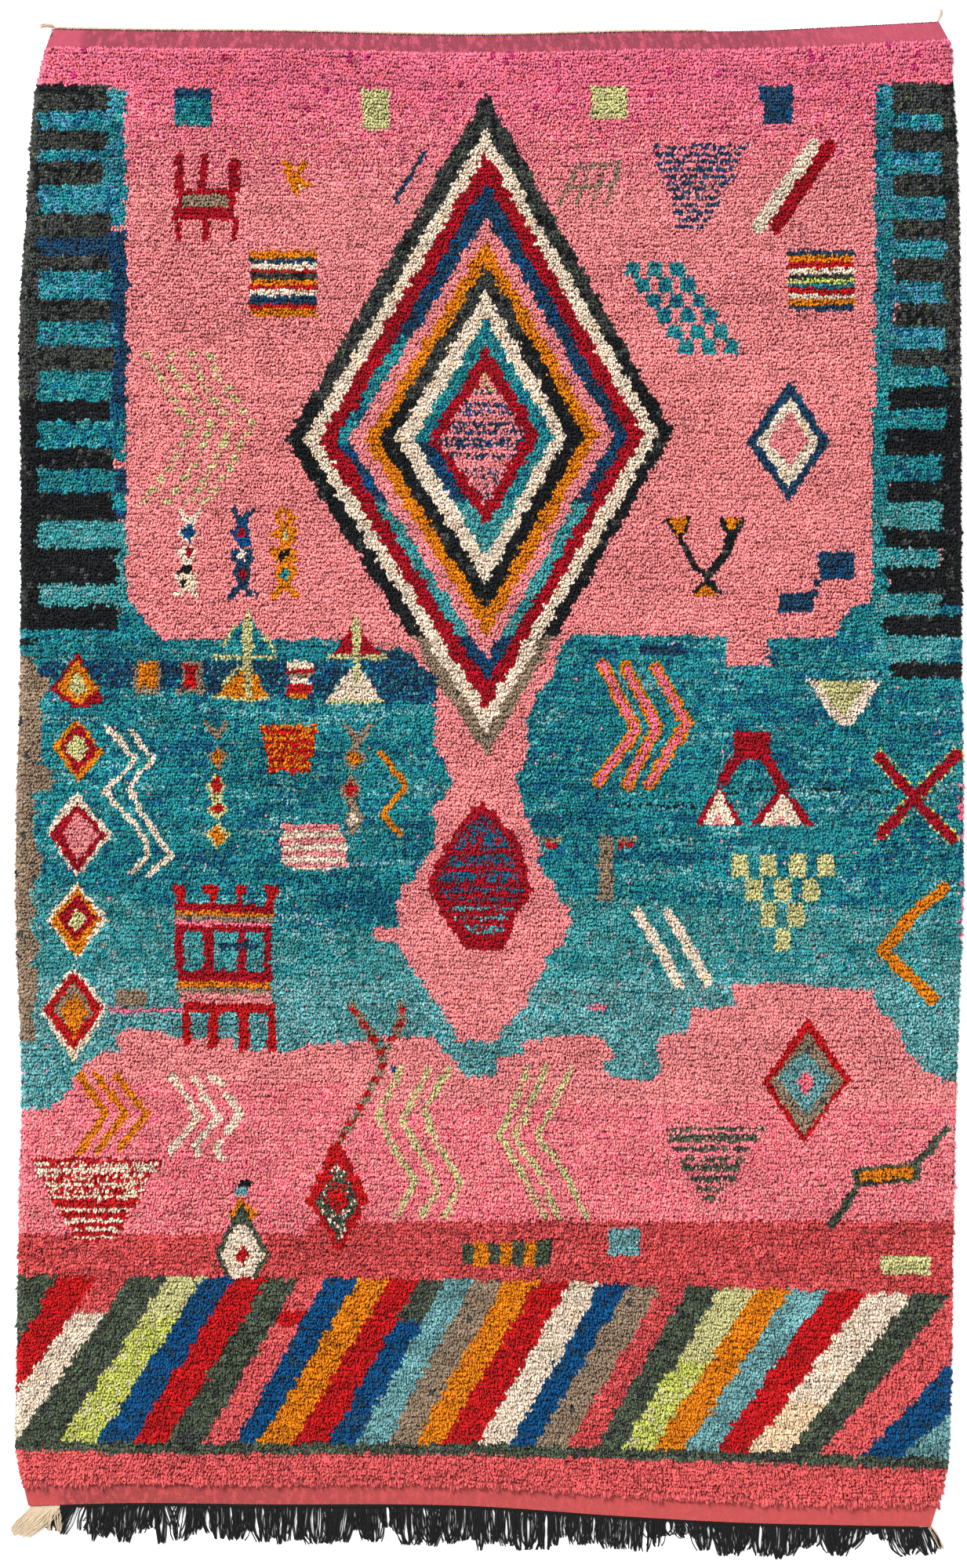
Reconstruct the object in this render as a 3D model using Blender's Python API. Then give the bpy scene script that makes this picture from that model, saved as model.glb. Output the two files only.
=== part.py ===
"""A hand-knotted wool rug lying flat on the floor.

The cloth is one solid: a lumpy slab of pile with a thin flat-woven band at each end and locks of
pile along its two selvedges. A heading cord lies along one end, and warp fringes lie at the other.
Sizes are in metres. X runs across the rug, Y from the fringe to the heading, and Z up from the floor.
"""

import math
import random

import bmesh
import bpy
import numpy as np

# Driving sizes of the cloth
RUG_LENGTH = 2.845
HEADING_BAND = 0.036
FRINGE_BAND = 0.040
GROUND_THICKNESS = 0.004
PILE_HEIGHT = 0.017
LUMP_HEIGHT = 0.0016
RIDGE_SPACING, RIDGE_BEND = 0.62, 0.83
ROW_SPACING, ROW_BEND = 0.29, 0.47
RIM_HEIGHT = 0.008
RIM_ROUNDING = 0.016
PILE_STEP = 0.004

# How finely the slab is divided
COLUMNS = 22
PILE_ROWS = 34
LOCKS_IN_A_ROW = 3
LOCK_REACH = (0.001, 0.006)
LOCK_SHOULDERS = (0.3, 0.72)

# Fringes, the heading cord and the loose warp end
GAP = 0.0003
STRIP_DEPTH = 0.006
STRIP_THICKNESS = 0.004
STRAND_TIP_THICKNESS = 0.0025
STRAND_BENDS = 3
CORD_RADIUS = 0.0019
CORD_COVERS = 0.737
FLOOR_CLEARANCE = 0.0001

# Each row is a place down the selvedges: metres from the heading, then the left and right edge's X.
DOWN, LEFT, RIGHT = 0, 1, 2
SIDES = (
    (0.000, -0.829, 0.871),
    (0.033, -0.839, 0.889),
    (0.108, -0.857, 0.896),
    (0.303, -0.873, 0.907),
    (0.543, -0.889, 0.911),
    (0.888, -0.887, 0.913),
    (1.233, -0.889, 0.914),
    (1.593, -0.897, 0.917),
    (1.743, -0.896, 0.913),
    (2.043, -0.886, 0.903),
    (2.313, -0.892, 0.897),
    (2.583, -0.895, 0.893),
    (2.751, -0.895, 0.883),
    (RUG_LENGTH, -0.874, 0.856),
)

# Each row is a place along the two ends: the share of the width from the left, then each end's Y.
ACROSS, HEADING, FRINGE = 0, 1, 2
ENDS = (
    (0.00, 1.445, -1.387),
    (0.10, 1.442, -1.382),
    (0.25, 1.440, -1.384),
    (0.50, 1.433, -1.388),
    (0.65, 1.439, -1.406),
    (0.80, 1.442, -1.420),
    (0.90, 1.450, -1.424),
    (1.00, 1.459, -1.427),
)

# Each fringe: the share of the width where it starts and ends, and its strands.
FRINGES = {
    "fringe_cream_left": dict(first=0.003, last=0.0355, strands=5),
    "fringe_black": dict(first=0.0365, last=0.9875, strands=112),
    "fringe_cream_right": dict(first=0.9885, last=0.998, strands=2),
}

# Each row is a place along the fringe end: how far sideways its tips lie, and how long they are.
DRIFT, LENGTH = 1, 2
LIE = (
    (0.000, -0.063, 0.062),
    (0.035, -0.050, 0.064),
    (0.060, -0.026, 0.070),
    (0.120, -0.006, 0.080),
    (0.500, 0.000, 0.084),
    (0.800, 0.000, 0.068),
    (0.930, 0.010, 0.060),
    (1.000, 0.030, 0.054),
)
STRANDS_IN_A_LOCK = (4, 5, 6, 7)
LOCK_LENGTH = (0.84, 1.06)
LOCK_LEAN = 0.008
TIP_GATHER = 0.5
STRAND_BOW = 1.4
STRAND_FILL = 0.62
STRAND_TAPER = 0.6


def clear_scene():
    for thing in list(bpy.data.objects):
        bpy.data.objects.remove(thing)


def wool(name, colour, roughness):
    material = bpy.data.materials.new(name)
    material.use_nodes = True
    shader = material.node_tree.nodes["Principled BSDF"]
    shader.inputs["Base Color"].default_value = (*colour, 1.0)
    shader.inputs["Roughness"].default_value = roughness
    shader.inputs["Metallic"].default_value = 0.0
    return material


def column(table, index):
    return np.array([row[index] for row in table])


def smooth(at, places, values):
    """A curve through the table's values, without corners at its rows."""
    slopes = np.gradient(values, places)
    k = np.clip(np.searchsorted(places, at) - 1, 0, len(places) - 2)
    span = places[k + 1] - places[k]
    t = (at - places[k]) / span
    start = (1 + 2 * t) * (1 - t) ** 2 * values[k] + t * (1 - t) ** 2 * span * slopes[k]
    end = t**2 * (3 - 2 * t) * values[k + 1] + t**2 * (t - 1) * span * slopes[k + 1]
    return start + end


def across_places():
    """Shares of the width: a narrow column at each selvedge, and even ones between."""
    rounding = RIM_ROUNDING / (SIDES[0][RIGHT] - SIDES[0][LEFT])
    inner = np.linspace(rounding, 1 - rounding, COLUMNS)
    return np.concatenate([[0.0], inner, [1.0]])


def down_places():
    """Metres from the heading: a flat band at each end, a steep step, and even rows of pile."""
    pile_start = HEADING_BAND + PILE_STEP
    pile_end = RUG_LENGTH - FRINGE_BAND - PILE_STEP
    pile = np.linspace(pile_start, pile_end, PILE_ROWS + 1)
    return np.concatenate([[0.0, HEADING_BAND], pile, [RUG_LENGTH - FRINGE_BAND, RUG_LENGTH]])


def end_y(across, which):
    """Y of an end of the cloth, which runs straight from each column to the next."""
    places = across_places()
    return np.interp(across, places, smooth(places, column(ENDS, ACROSS), column(ENDS, which)))


def on_rug(across, down):
    """X and Y of a place on the cloth."""
    places = column(SIDES, DOWN)
    left = smooth(down, places, column(SIDES, LEFT))
    right = smooth(down, places, column(SIDES, RIGHT))
    share = down / RUG_LENGTH
    y = end_y(across, HEADING) * (1 - share) + end_y(across, FRINGE) * share
    return left + (right - left) * across, y


def lump(x, y):
    """The pile's slow swell at a place, between -1 and 1: broad ridges along Y and closer ones across."""
    turn = 2 * math.pi
    ridges = math.sin(turn * x / RIDGE_SPACING + math.sin(turn * y / RIDGE_BEND))
    rows = math.sin(turn * y / ROW_SPACING + math.sin(turn * x / ROW_BEND))
    return 0.55 * ridges + 0.45 * rows


def has_pile(down):
    return HEADING_BAND < down < RUG_LENGTH - FRINGE_BAND


def top_point(across, down):
    x, y = on_rug(across, down)
    if not has_pile(down):
        return x, y, GROUND_THICKNESS
    if across in (0.0, 1.0):
        return x, y, RIM_HEIGHT
    return x, y, PILE_HEIGHT + LUMP_HEIGHT * lump(x, y)


def lock_points(side, start, end, chance):
    """The locks of pile that hang over a selvedge between two rows: (across, down, reach) of each point."""
    points = []
    height = (end - start) / LOCKS_IN_A_ROW
    for lock in range(LOCKS_IN_A_ROW):
        reach = chance.uniform(*LOCK_REACH)
        foot = start + lock * height
        if lock:
            points.append((side, foot, LOCK_REACH[0]))
        for shoulder in LOCK_SHOULDERS:
            points.append((side, foot + shoulder * height, reach))
    return points


def build_rug():
    chance = random.Random(4)
    across, down = across_places(), down_places()
    bm = bmesh.new()
    top = [[bm.verts.new(top_point(a, d)) for a in across] for d in down]
    last_row, last_column = len(down) - 1, len(across) - 1

    # The even part of the top, inside the narrow column at each selvedge
    for j in range(last_row):
        for k in range(1, last_column - 1):
            bm.faces.new((top[j][k], top[j + 1][k], top[j + 1][k + 1], top[j][k + 1]))

    def side_of(k, inner, outward):
        """Closes the narrow column with a fan to each lock, and returns the rim from heading to fringe."""
        rim = [(top[0][k], across[k], down[0])]
        for j in range(last_row):
            outer = [top[j][k]]
            if has_pile(down[j]) and has_pile(down[j + 1]):
                for a, d, reach in lock_points(across[k], down[j], down[j + 1], chance):
                    x, y = on_rug(a, d)
                    point = bm.verts.new((x + outward * reach, y, RIM_HEIGHT))
                    outer.append(point)
                    rim.append((point, a, d))
            outer.append(top[j + 1][k])
            rim.append((top[j + 1][k], across[k], down[j + 1]))
            near, far, middle = top[j][inner], top[j + 1][inner], len(outer) // 2
            for i in range(len(outer) - 1):
                bm.faces.new((near if i < middle else far, outer[i], outer[i + 1]))
            bm.faces.new((near, outer[middle], far))
        return rim

    left = side_of(0, 1, -1)
    right = side_of(last_column, last_column - 1, 1)
    heading = [(top[0][k], across[k], down[0]) for k in range(last_column + 1)]
    fringe = [(top[last_row][k], across[k], down[last_row]) for k in range(last_column + 1)]

    # The wall goes round once, down to a level foot on the floor
    rim = heading[:-1] + right[:-1] + fringe[:0:-1] + left[:0:-1]
    foot = [bm.verts.new((*on_rug(a, d), 0.0)) for _, a, d in rim]
    for i in range(len(rim)):
        j = (i + 1) % len(rim)
        bm.faces.new((rim[i][0], rim[j][0], foot[j], foot[i]))
    bm.faces.new(foot)
    bmesh.ops.triangulate(bm, faces=[f for f in bm.faces if len(f.verts) > 3])
    return bm


def strand_tips(middles, chance):
    """Gathers the strands into locks, and returns how far each tip lies from its root, sideways and out."""
    tips = []
    while len(tips) < len(middles):
        start = len(tips)
        lock = middles[start : start + chance.choice(STRANDS_IN_A_LOCK)]
        centre = on_rug(sum(lock) / len(lock), RUG_LENGTH)[0]
        lean = chance.uniform(-LOCK_LEAN, LOCK_LEAN)
        lock_length = chance.uniform(*LOCK_LENGTH)
        for middle in lock:
            drift = np.interp(middle, column(LIE, ACROSS), column(LIE, DRIFT))
            length = np.interp(middle, column(LIE, ACROSS), column(LIE, LENGTH))
            gather = (centre - on_rug(middle, RUG_LENGTH)[0]) * (1 - TIP_GATHER)
            tips.append((drift + lean + gather, length * lock_length * chance.uniform(0.95, 1.0)))
    return tips


def build_fringe(first, last, strands):
    """A narrow strip along the cloth's edge, with flat-lying strands that grow out of its outer wall."""
    chance = random.Random(strands)
    bm = bmesh.new()
    pitch = (last - first) / strands
    half = pitch * STRAND_FILL / 2
    middles = [first + pitch * (i + 0.5) for i in range(strands)]
    places = [first] + [m + s * half for m in middles for s in (-1, 1)] + [last]
    tips = strand_tips(middles, chance)

    def strip_corners(a):
        x, edge = on_rug(a, RUG_LENGTH)
        back, front = edge - GAP, edge - GAP - STRIP_DEPTH
        corners = ((back, 0.0), (back, STRIP_THICKNESS), (front, STRIP_THICKNESS), (front, 0.0))
        return [bm.verts.new((x, y, z)) for y, z in corners]

    posts = [strip_corners(a) for a in places]
    bm.faces.new(posts[0])
    bm.faces.new(posts[-1])
    for i in range(len(posts) - 1):
        a, b = posts[i], posts[i + 1]
        bm.faces.new((a[0], a[1], b[1], b[0]))
        bm.faces.new((a[1], a[2], b[2], b[1]))
        bm.faces.new((a[3], a[0], b[0], b[3]))
        ring = [a[3], a[2], b[2], b[3]]
        if i % 2:
            ring = add_strand(bm, ring, *tips[i // 2])
        bm.faces.new(ring)
    return bm


def add_strand(bm, ring, sideways, out):
    """Grows a four-sided strand from a ring of corners, and returns its last ring."""
    root_x = (ring[0].co.x + ring[3].co.x) / 2
    root_y = (ring[0].co.y + ring[3].co.y) / 2
    root_half = (ring[3].co.x - ring[0].co.x) / 2
    for step in range(1, STRAND_BENDS + 1):
        share = step / STRAND_BENDS
        x = root_x + sideways * share**STRAND_BOW
        y = root_y - (out - STRIP_DEPTH) * share
        half = root_half * (1 - (1 - STRAND_TAPER) * share)
        height = STRIP_THICKNESS + (STRAND_TIP_THICKNESS - STRIP_THICKNESS) * share
        corners = ((x - half, 0.0), (x - half, height), (x + half, height), (x + half, 0.0))
        following = [bm.verts.new((cx, y, cz)) for cx, cz in corners]
        for i in range(4):
            j = (i + 1) % 4
            bm.faces.new((ring[i], ring[j], following[j], following[i]))
        ring = following
    return ring


def object_from(name, bm, material):
    bmesh.ops.recalc_face_normals(bm, faces=bm.faces)
    mesh = bpy.data.meshes.new(name)
    bm.to_mesh(mesh)
    bm.free()
    mesh.materials.append(material)
    made = bpy.data.objects.new(name, mesh)
    bpy.context.scene.collection.objects.link(made)
    return made


def lying_tube(name, points, material):
    """A tube with a radius at each point, (x, y, radius), that lies on the floor."""
    curve = bpy.data.curves.new(name, "CURVE")
    curve.dimensions = "3D"
    curve.bevel_depth = 1.0
    curve.bevel_resolution = 2
    curve.use_fill_caps = True
    spline = curve.splines.new("POLY")
    spline.points.add(len(points) - 1)
    for point, (x, y, radius) in zip(spline.points, points):
        point.co = (x, y, radius + FLOOR_CLEARANCE, 1.0)
        point.radius = radius
    curve.materials.append(material)
    made = bpy.data.objects.new(name, curve)
    bpy.context.scene.collection.objects.link(made)
    return made


def heading_cord(material):
    """The cord that the first warps were looped on, with its frayed end past the left corner."""
    corner_x, corner_y = on_rug(0.0, 0.0)
    seat = GAP + CORD_RADIUS
    tip = (corner_x - 0.024, corner_y + 0.0060, 0.0012)
    belly = (corner_x - 0.013, corner_y + 0.0068, 0.0030)
    along = [a for a in across_places() if a < CORD_COVERS] + [CORD_COVERS]
    held = [(*np.add(on_rug(a, 0.0), (0.0, seat)), CORD_RADIUS) for a in along]
    return lying_tube("heading_cord", [tip, belly] + held, material)


def corner_warp_end(material):
    """A loose lock of warp that stands out past the right corner of the heading."""
    corner_x, corner_y = on_rug(1.0, 0.0)
    root_y = corner_y + 2 * GAP
    root = (corner_x - 0.003, root_y, 0.0016)
    belly = (corner_x - 0.0015, root_y + 0.010, 0.0028)
    bend = (corner_x + 0.003, root_y + 0.021, 0.0026)
    tip = (corner_x + 0.010, root_y + 0.030, 0.0010)
    return lying_tube("corner_warp_end", [root, belly, bend, tip], material)


def main():
    clear_scene()
    pile = wool("rose_wool", (0.76, 0.16, 0.22), 0.95)
    black = wool("black_warp", (0.012, 0.012, 0.014), 0.9)
    cream = wool("cream_warp", (0.72, 0.60, 0.44), 0.9)
    object_from("rug", build_rug(), pile)
    for name, sizes in FRINGES.items():
        object_from(name, build_fringe(**sizes), cream if "cream" in name else black)
    heading_cord(cream)
    corner_warp_end(cream)


main()
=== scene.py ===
# %% [markdown]
# # A hand-knotted Moroccan rug
# The rug is one woolen cloth lying flat: thousands of knots of pile, a flat-woven band at each end,
# a plied heading cord along one end and warp fringes along the other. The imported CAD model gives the
# place and size of each of them, so this lesson starts by loading it. Sizes are in metres.

# %% Load the frame
import math

import bmesh
import bpy
import numpy as np
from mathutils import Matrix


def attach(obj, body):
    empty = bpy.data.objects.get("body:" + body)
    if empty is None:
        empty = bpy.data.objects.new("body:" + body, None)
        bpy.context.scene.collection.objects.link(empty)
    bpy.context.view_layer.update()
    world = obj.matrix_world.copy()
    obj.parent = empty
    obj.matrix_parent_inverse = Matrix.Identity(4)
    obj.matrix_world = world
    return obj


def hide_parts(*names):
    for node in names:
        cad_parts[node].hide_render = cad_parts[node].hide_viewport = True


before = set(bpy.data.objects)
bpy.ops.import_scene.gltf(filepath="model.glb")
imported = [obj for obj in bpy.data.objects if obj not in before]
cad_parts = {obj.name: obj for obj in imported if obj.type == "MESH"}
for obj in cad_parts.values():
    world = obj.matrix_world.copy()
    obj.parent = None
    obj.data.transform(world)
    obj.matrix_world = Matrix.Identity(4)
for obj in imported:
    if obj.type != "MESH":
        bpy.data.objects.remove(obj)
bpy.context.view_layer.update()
bpy.ops.object.select_all(action="DESELECT")

# %% [markdown]
# ## Camera, floor and light
# The photograph looks straight down from far away, so the rug shows with almost no perspective. A long
# lens six metres up gives that. The floor is plain and pale. One large soft light from the top left
# gives each tuft a lit and a shaded side, and the bright surroundings fill the shadows.

# %% Camera
PILE_HEIGHT = 0.017
VIEW_LENGTH = 3.0
CAMERA_DISTANCE = 6.0
SENSOR = 0.036

bpy.ops.object.camera_add(location=(-0.0015, -0.003, CAMERA_DISTANCE + PILE_HEIGHT), rotation=(0, 0, 0))
camera = bpy.context.object
camera.name = "overhead_camera"
camera.data.sensor_width = SENSOR * 1000
camera.data.lens = SENSOR * 1000 * CAMERA_DISTANCE / VIEW_LENGTH
camera.data.dof.use_dof = False
bpy.context.scene.camera = camera
bpy.context.scene.view_settings.view_transform = "Standard"
print("lens", camera.data.lens, "mm")

# %% Floor
FLOOR_WIDTH = 14.0

bpy.ops.mesh.primitive_plane_add(size=FLOOR_WIDTH, location=(0, 0, -0.0002))
floor = bpy.context.object
floor.name = "studio_floor"
floor_paint = bpy.data.materials.new("pale studio floor")
floor_paint.use_nodes = True
floor_shader = floor_paint.node_tree.nodes["Principled BSDF"]
floor_shader.inputs["Base Color"].default_value = (0.93, 0.93, 0.93, 1)
floor_shader.inputs["Roughness"].default_value = 0.9
floor_shader.inputs["Specular IOR Level"].default_value = 0.1
floor.data.materials.append(floor_paint)

# %% Light
def area_light(name, place, aim, width, power):
    """A square soft light at a place, turned to shine at another."""
    towards = [a - p for a, p in zip(aim, place)]
    flat = math.hypot(towards[0], towards[1])
    turn = (math.atan2(flat, -towards[2]), 0, math.atan2(towards[1], towards[0]) - math.pi / 2)
    bpy.ops.object.light_add(type="AREA", location=place, rotation=turn)
    light = bpy.context.object
    light.name = name
    light.data.size = width
    light.data.energy = power
    return light


area_light("key_light", (-8.5, 9.0, 10.5), (0, 0, 0), 4.5, 5300)
area_light("fill_light", (3.6, -3.0, 5.0), (0, 0, 0), 3.5, 180)
surroundings = bpy.data.worlds.new("bright studio")
surroundings.use_nodes = True
surroundings.node_tree.nodes["Background"].inputs["Color"].default_value = (1, 1, 1, 1)
surroundings.node_tree.nodes["Background"].inputs["Strength"].default_value = 0.84
bpy.context.scene.world = surroundings
print("lights", [light.name for light in bpy.data.lights])

# %% [markdown]
# ## The outline of the cloth
# A rug from a hand loom is never a true rectangle. Its selvedges swell where the wool was beaten less,
# and its ends sag. Two short tables hold those places, the same as in the CAD source, and a smooth
# curve runs through them. Everything on the rug is placed by its share of the width and its distance
# down from the heading, so it follows the cloth.

# %% Sizes of the cloth
RUG_LENGTH = 2.845
RUG_WIDTH = 1.78
HEADING_BAND = 0.036
FRINGE_BAND = 0.040
GROUND_THICKNESS = 0.004

# metres down from the heading, then X of the left and the right selvedge
SIDES = np.array((
    (0.000, -0.829, 0.871), (0.033, -0.839, 0.889), (0.108, -0.857, 0.896), (0.303, -0.873, 0.907),
    (0.543, -0.889, 0.911), (0.888, -0.887, 0.913), (1.233, -0.889, 0.914), (1.593, -0.897, 0.917),
    (1.743, -0.896, 0.913), (2.043, -0.886, 0.903), (2.313, -0.892, 0.897), (2.583, -0.895, 0.893),
    (2.751, -0.895, 0.883), (RUG_LENGTH, -0.874, 0.856),
))
# share of the width, then Y of the heading end and of the fringe end
ENDS = np.array((
    (0.00, 1.445, -1.387), (0.10, 1.442, -1.382), (0.25, 1.440, -1.384), (0.50, 1.433, -1.388),
    (0.65, 1.439, -1.406), (0.80, 1.442, -1.420), (0.90, 1.450, -1.424), (1.00, 1.459, -1.427),
))


def smooth(at, places, values):
    """A curve through the values, without corners."""
    slopes = np.gradient(values, places)
    k = np.clip(np.searchsorted(places, at) - 1, 0, len(places) - 2)
    span = places[k + 1] - places[k]
    t = (at - places[k]) / span
    start = (1 + 2 * t) * (1 - t) ** 2 * values[k] + t * (1 - t) ** 2 * span * slopes[k]
    end = t**2 * (3 - 2 * t) * values[k + 1] + t**2 * (t - 1) * span * slopes[k + 1]
    return start + end


def on_rug(across, down):
    """X and Y of a place on the cloth."""
    left = smooth(down, SIDES[:, 0], SIDES[:, 1])
    right = smooth(down, SIDES[:, 0], SIDES[:, 2])
    share = down / RUG_LENGTH
    heading = smooth(across, ENDS[:, 0], ENDS[:, 1])
    fringe = smooth(across, ENDS[:, 0], ENDS[:, 2])
    return left + (right - left) * across, heading * (1 - share) + fringe * share


print("width at the middle", round(float(on_rug(1.0, 1.4)[0] - on_rug(0.0, 1.4)[0]), 3))

# %% [markdown]
# ## Places of the tufts
# Each knot leaves two tufts of cut wool that lean towards the fringe. About 270,000 tufts stand three
# millimetres apart across and six down, every other row shifted by half, each one moved a little, as
# wool never stands in a true grid. Tufts cling together in locks of six, which lean as one. They
# are only places so far.

# %% Lay out the tufts
TUFT_COLUMNS = 590
TUFT_ROWS = 462
LOCK_COLUMNS, LOCK_ROWS = 3, 2
chance = np.random.default_rng(21)

tuft_row, tuft_column = np.mgrid[0:TUFT_ROWS, 0:TUFT_COLUMNS]
tuft_row, tuft_column = tuft_row.ravel(), tuft_column.ravel()
tufts = tuft_row.size
lock_row = (tuft_row + tuft_column // 29 % 2) // LOCK_ROWS
lock_column = (tuft_column + lock_row * 5 // 3 % 3) // LOCK_COLUMNS
lock_of = lock_row * (TUFT_COLUMNS // LOCK_COLUMNS + 3) + lock_column
knot_of = tuft_row * (TUFT_COLUMNS // 2 + 1) + (tuft_column + tuft_row % 2) // 2
sideways = (tuft_row % 2) * 0.5 - 0.25 + chance.uniform(-0.42, 0.42, tufts)
lengthways = chance.uniform(-0.36, 0.36, tufts)
across = np.clip((tuft_column + 0.5 + sideways) / TUFT_COLUMNS, 0, 1)
pile_start, pile_end = HEADING_BAND - 0.002, RUG_LENGTH - FRINGE_BAND + 0.001
down = pile_start + (pile_end - pile_start) * (tuft_row + 0.5 + lengthways) / TUFT_ROWS
tuft_x, tuft_y = on_rug(across, down)
print(tufts, "tufts in", lock_of.max() + 1, "locks")

# %% [markdown]
# ## The weaver's chart
# Flat-weave and pile patterns are planned in knots, as on squared paper. Here a knot is six
# millimetres, and the chart counts columns from the left and rows from the top. Each figure is a
# lozenge, chevron, comb, bar, stripe or zigzag of the traditional Berber kind, given by a few corners
# in knots. Painting it in code rather than with an image keeps every edge as crisp as the knots are.

# %% Chart places and yarns
KNOT = 0.006
CHART_LEFT, CHART_TOP = -0.92625, 1.497

c = (tuft_x - CHART_LEFT) / KNOT
r = (CHART_TOP - tuft_y) / KNOT


def patches(columns, rows, seed):
    """Slow changes from 0 to 1 over the cloth, in patches of so many knots across and down."""
    lattice = np.random.default_rng(seed).random((int(520 / rows) + 2, int(330 / columns) + 2))
    u, v = np.clip(c / columns + 0.5, 0, None), np.clip(r / rows + 0.5, 0, None)
    i, j = v.astype(int), u.astype(int)
    fu, fv = u - j, v - i
    fu, fv = fu * fu * (3 - 2 * fu), fv * fv * (3 - 2 * fv)
    upper = lattice[i, j] * (1 - fu) + lattice[i, j + 1] * fu
    lower = lattice[i + 1, j] * (1 - fu) + lattice[i + 1, j + 1] * fu
    return upper * (1 - fv) + lower * fv


def of_each(group, spread):
    """One random value for all the tufts of a knot or a lock."""
    return chance.normal(0, spread, group.max() + 1)[group]


# the edges of the figures wander a little from row to row, as hand knotting does
uneven_c = 2.0 * (patches(4, 1.2, 3) - 0.5) + of_each(knot_of, 0.25) + of_each(lock_of, 0.2)
uneven_r = 0.9 * (patches(1.6, 3, 4) - 0.5) + of_each(knot_of, 0.12) + of_each(lock_of, 0.12)
calm_c, calm_r = c + 0.45 * uneven_c, r + 0.45 * uneven_r
c, r = c + uneven_c, r + uneven_r

# sRGB colours of the dyed wools
YARNS = {
    "rose": (0.92, 0.445, 0.55), "pink": (0.92, 0.54, 0.55), "salmon": (0.94, 0.545, 0.545),
    "hot pink": (0.98, 0.45, 0.52), "crimson": (0.80, 0.29, 0.295), "coral": (0.87, 0.355, 0.36),
    "blue teal": (0.12, 0.53, 0.56), "green teal": (0.27, 0.59, 0.60), "pale teal": (0.45, 0.66, 0.67),
    "deep teal": (0.06, 0.38, 0.50), "navy": (0.11, 0.25, 0.36), "blue": (0.00, 0.30, 0.50),
    "light blue": (0.42, 0.61, 0.62), "lime": (0.75, 0.77, 0.36), "pale lime": (0.77, 0.75, 0.52),
    "orange": (0.87, 0.495, 0.015), "red": (0.75, 0.055, 0.075), "wine": (0.65, 0.02, 0.11),
    "cream": (0.89, 0.81, 0.725), "straw": (0.90, 0.78, 0.64), "taupe": (0.58, 0.495, 0.41),
    "magenta": (0.78, 0.20, 0.46), "charcoal": (0.245, 0.255, 0.245), "bottle green": (0.30, 0.34, 0.27),
    "black": (0.09, 0.10, 0.11), "dusty blue": (0.27, 0.55, 0.65),
}
YARN_NAMES = list(YARNS)
wool = np.full(tufts, YARN_NAMES.index("pink"))
share = chance.random(tufts)
print(len(YARNS), "yarns, rows", round(float(r.min())), "to", round(float(r.max())))


# %% Chart tools
def paint(yarn, where, part=1.0):
    """Change the tufts in a shape, or a part of them, to a yarn."""
    wool[where & (share < part)] = YARN_NAMES.index(yarn)


def is_yarn(*names):
    """The tufts that have one of these yarns."""
    return np.isin(wool, [YARN_NAMES.index(name) for name in names])


def between(values, low, high):
    """The tufts with a value from low up to high."""
    return (values >= low) & (values < high)


def inside(corners, small=False):
    """The tufts inside the outline through these corners, columns and rows. Small ones wander less."""
    at_c, at_r = (calm_c, calm_r) if small else (c, r)
    found = np.zeros(tufts, bool)
    ends = list(corners[1:]) + [corners[0]]
    for (c0, r0), (c1, r1) in zip(corners, ends):
        if r0 != r1:
            crosses = (r0 > at_r) != (r1 > at_r)
            found ^= crosses & (at_c < (c1 - c0) * (at_r - r0) / (r1 - r0) + c0)
    return found


def near_line(route, width):
    """The tufts within half a width of the line through these places."""
    nearest = np.full(tufts, 1e9)
    for (c0, r0), (c1, r1) in zip(route[:-1], route[1:]):
        dc, dr = c1 - c0, r1 - r0
        from_c, from_r = calm_c - c0, calm_r - r0
        along = np.clip((from_c * dc + from_r * dr) / (dc * dc + dr * dr), 0, 1)
        nearest = np.minimum(nearest, np.hypot(from_c - along * dc, from_r - along * dr))
    return nearest <= width / 2


def paint_blocks(table):
    """Each row is a yarn, the first and last column, and the first and last row of a block."""
    for yarn, start, end, top, foot in table:
        paint(yarn, between(calm_c, start, end) & between(calm_r, top, foot))


def paint_shapes(table):
    """Each row is a yarn and the corners of its shape."""
    for yarn, *corners in table:
        paint(yarn, inside(corners, small=True))


def paint_lines(table):
    """Each row is a yarn, a width in knots and the places that the line goes through."""
    for yarn, width, *route in table:
        paint(yarn, near_line(route, width))


# %% [markdown]
# ### Fields and side combs
# Hand-dyed wool changes a little from batch to batch, which weavers call abrash. So the pink runs from
# rose at the heading to salmon lower down, and the teal field is streaked. Down both sides, teal and
# black bars mesh like the teeth of two combs.

# %% Pink fields
fade = np.clip((62 - r) / 34, 0, 1)
paint("rose", share < fade)
paint("salmon", share < np.clip((r - 80) / 40, 0, 1))
paint("hot pink", (r > 352) | ((r > 345) & (c < 110)), 0.45)
print(np.count_nonzero(share < fade), "tufts of rose at the heading")

# %% Side combs
LEFT_COMB_TOP, RIGHT_COMB_TOP = 26.5, 26
# yarn and last row of each bar, then the column where it ends, or starts on the black bars at the right
LEFT_COMB = (
    ("charcoal", 35, 34.5), ("blue teal", 41, 39), ("charcoal", 47.5, 34), ("blue teal", 51, 38.5),
    ("charcoal", 58.5, 33), ("blue teal", 67.5, 38.5), ("charcoal", 75, 35), ("navy", 81, 35.5),
    ("charcoal", 86, 35), ("blue teal", 95, 35.5), ("charcoal", 102, 35), ("blue teal", 110, 37),
    ("charcoal", 118, 36), ("blue teal", 127.5, 35.5), ("black", 134, 35.5), ("blue teal", 142.5, 39.5),
    ("black", 149.5, 36), ("blue teal", 157, 36), ("black", 166, 36), ("green teal", 174.5, 40),
    ("black", 186, 37), ("green teal", 193, 40), ("black", 200.5, 37.5),
)
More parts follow.
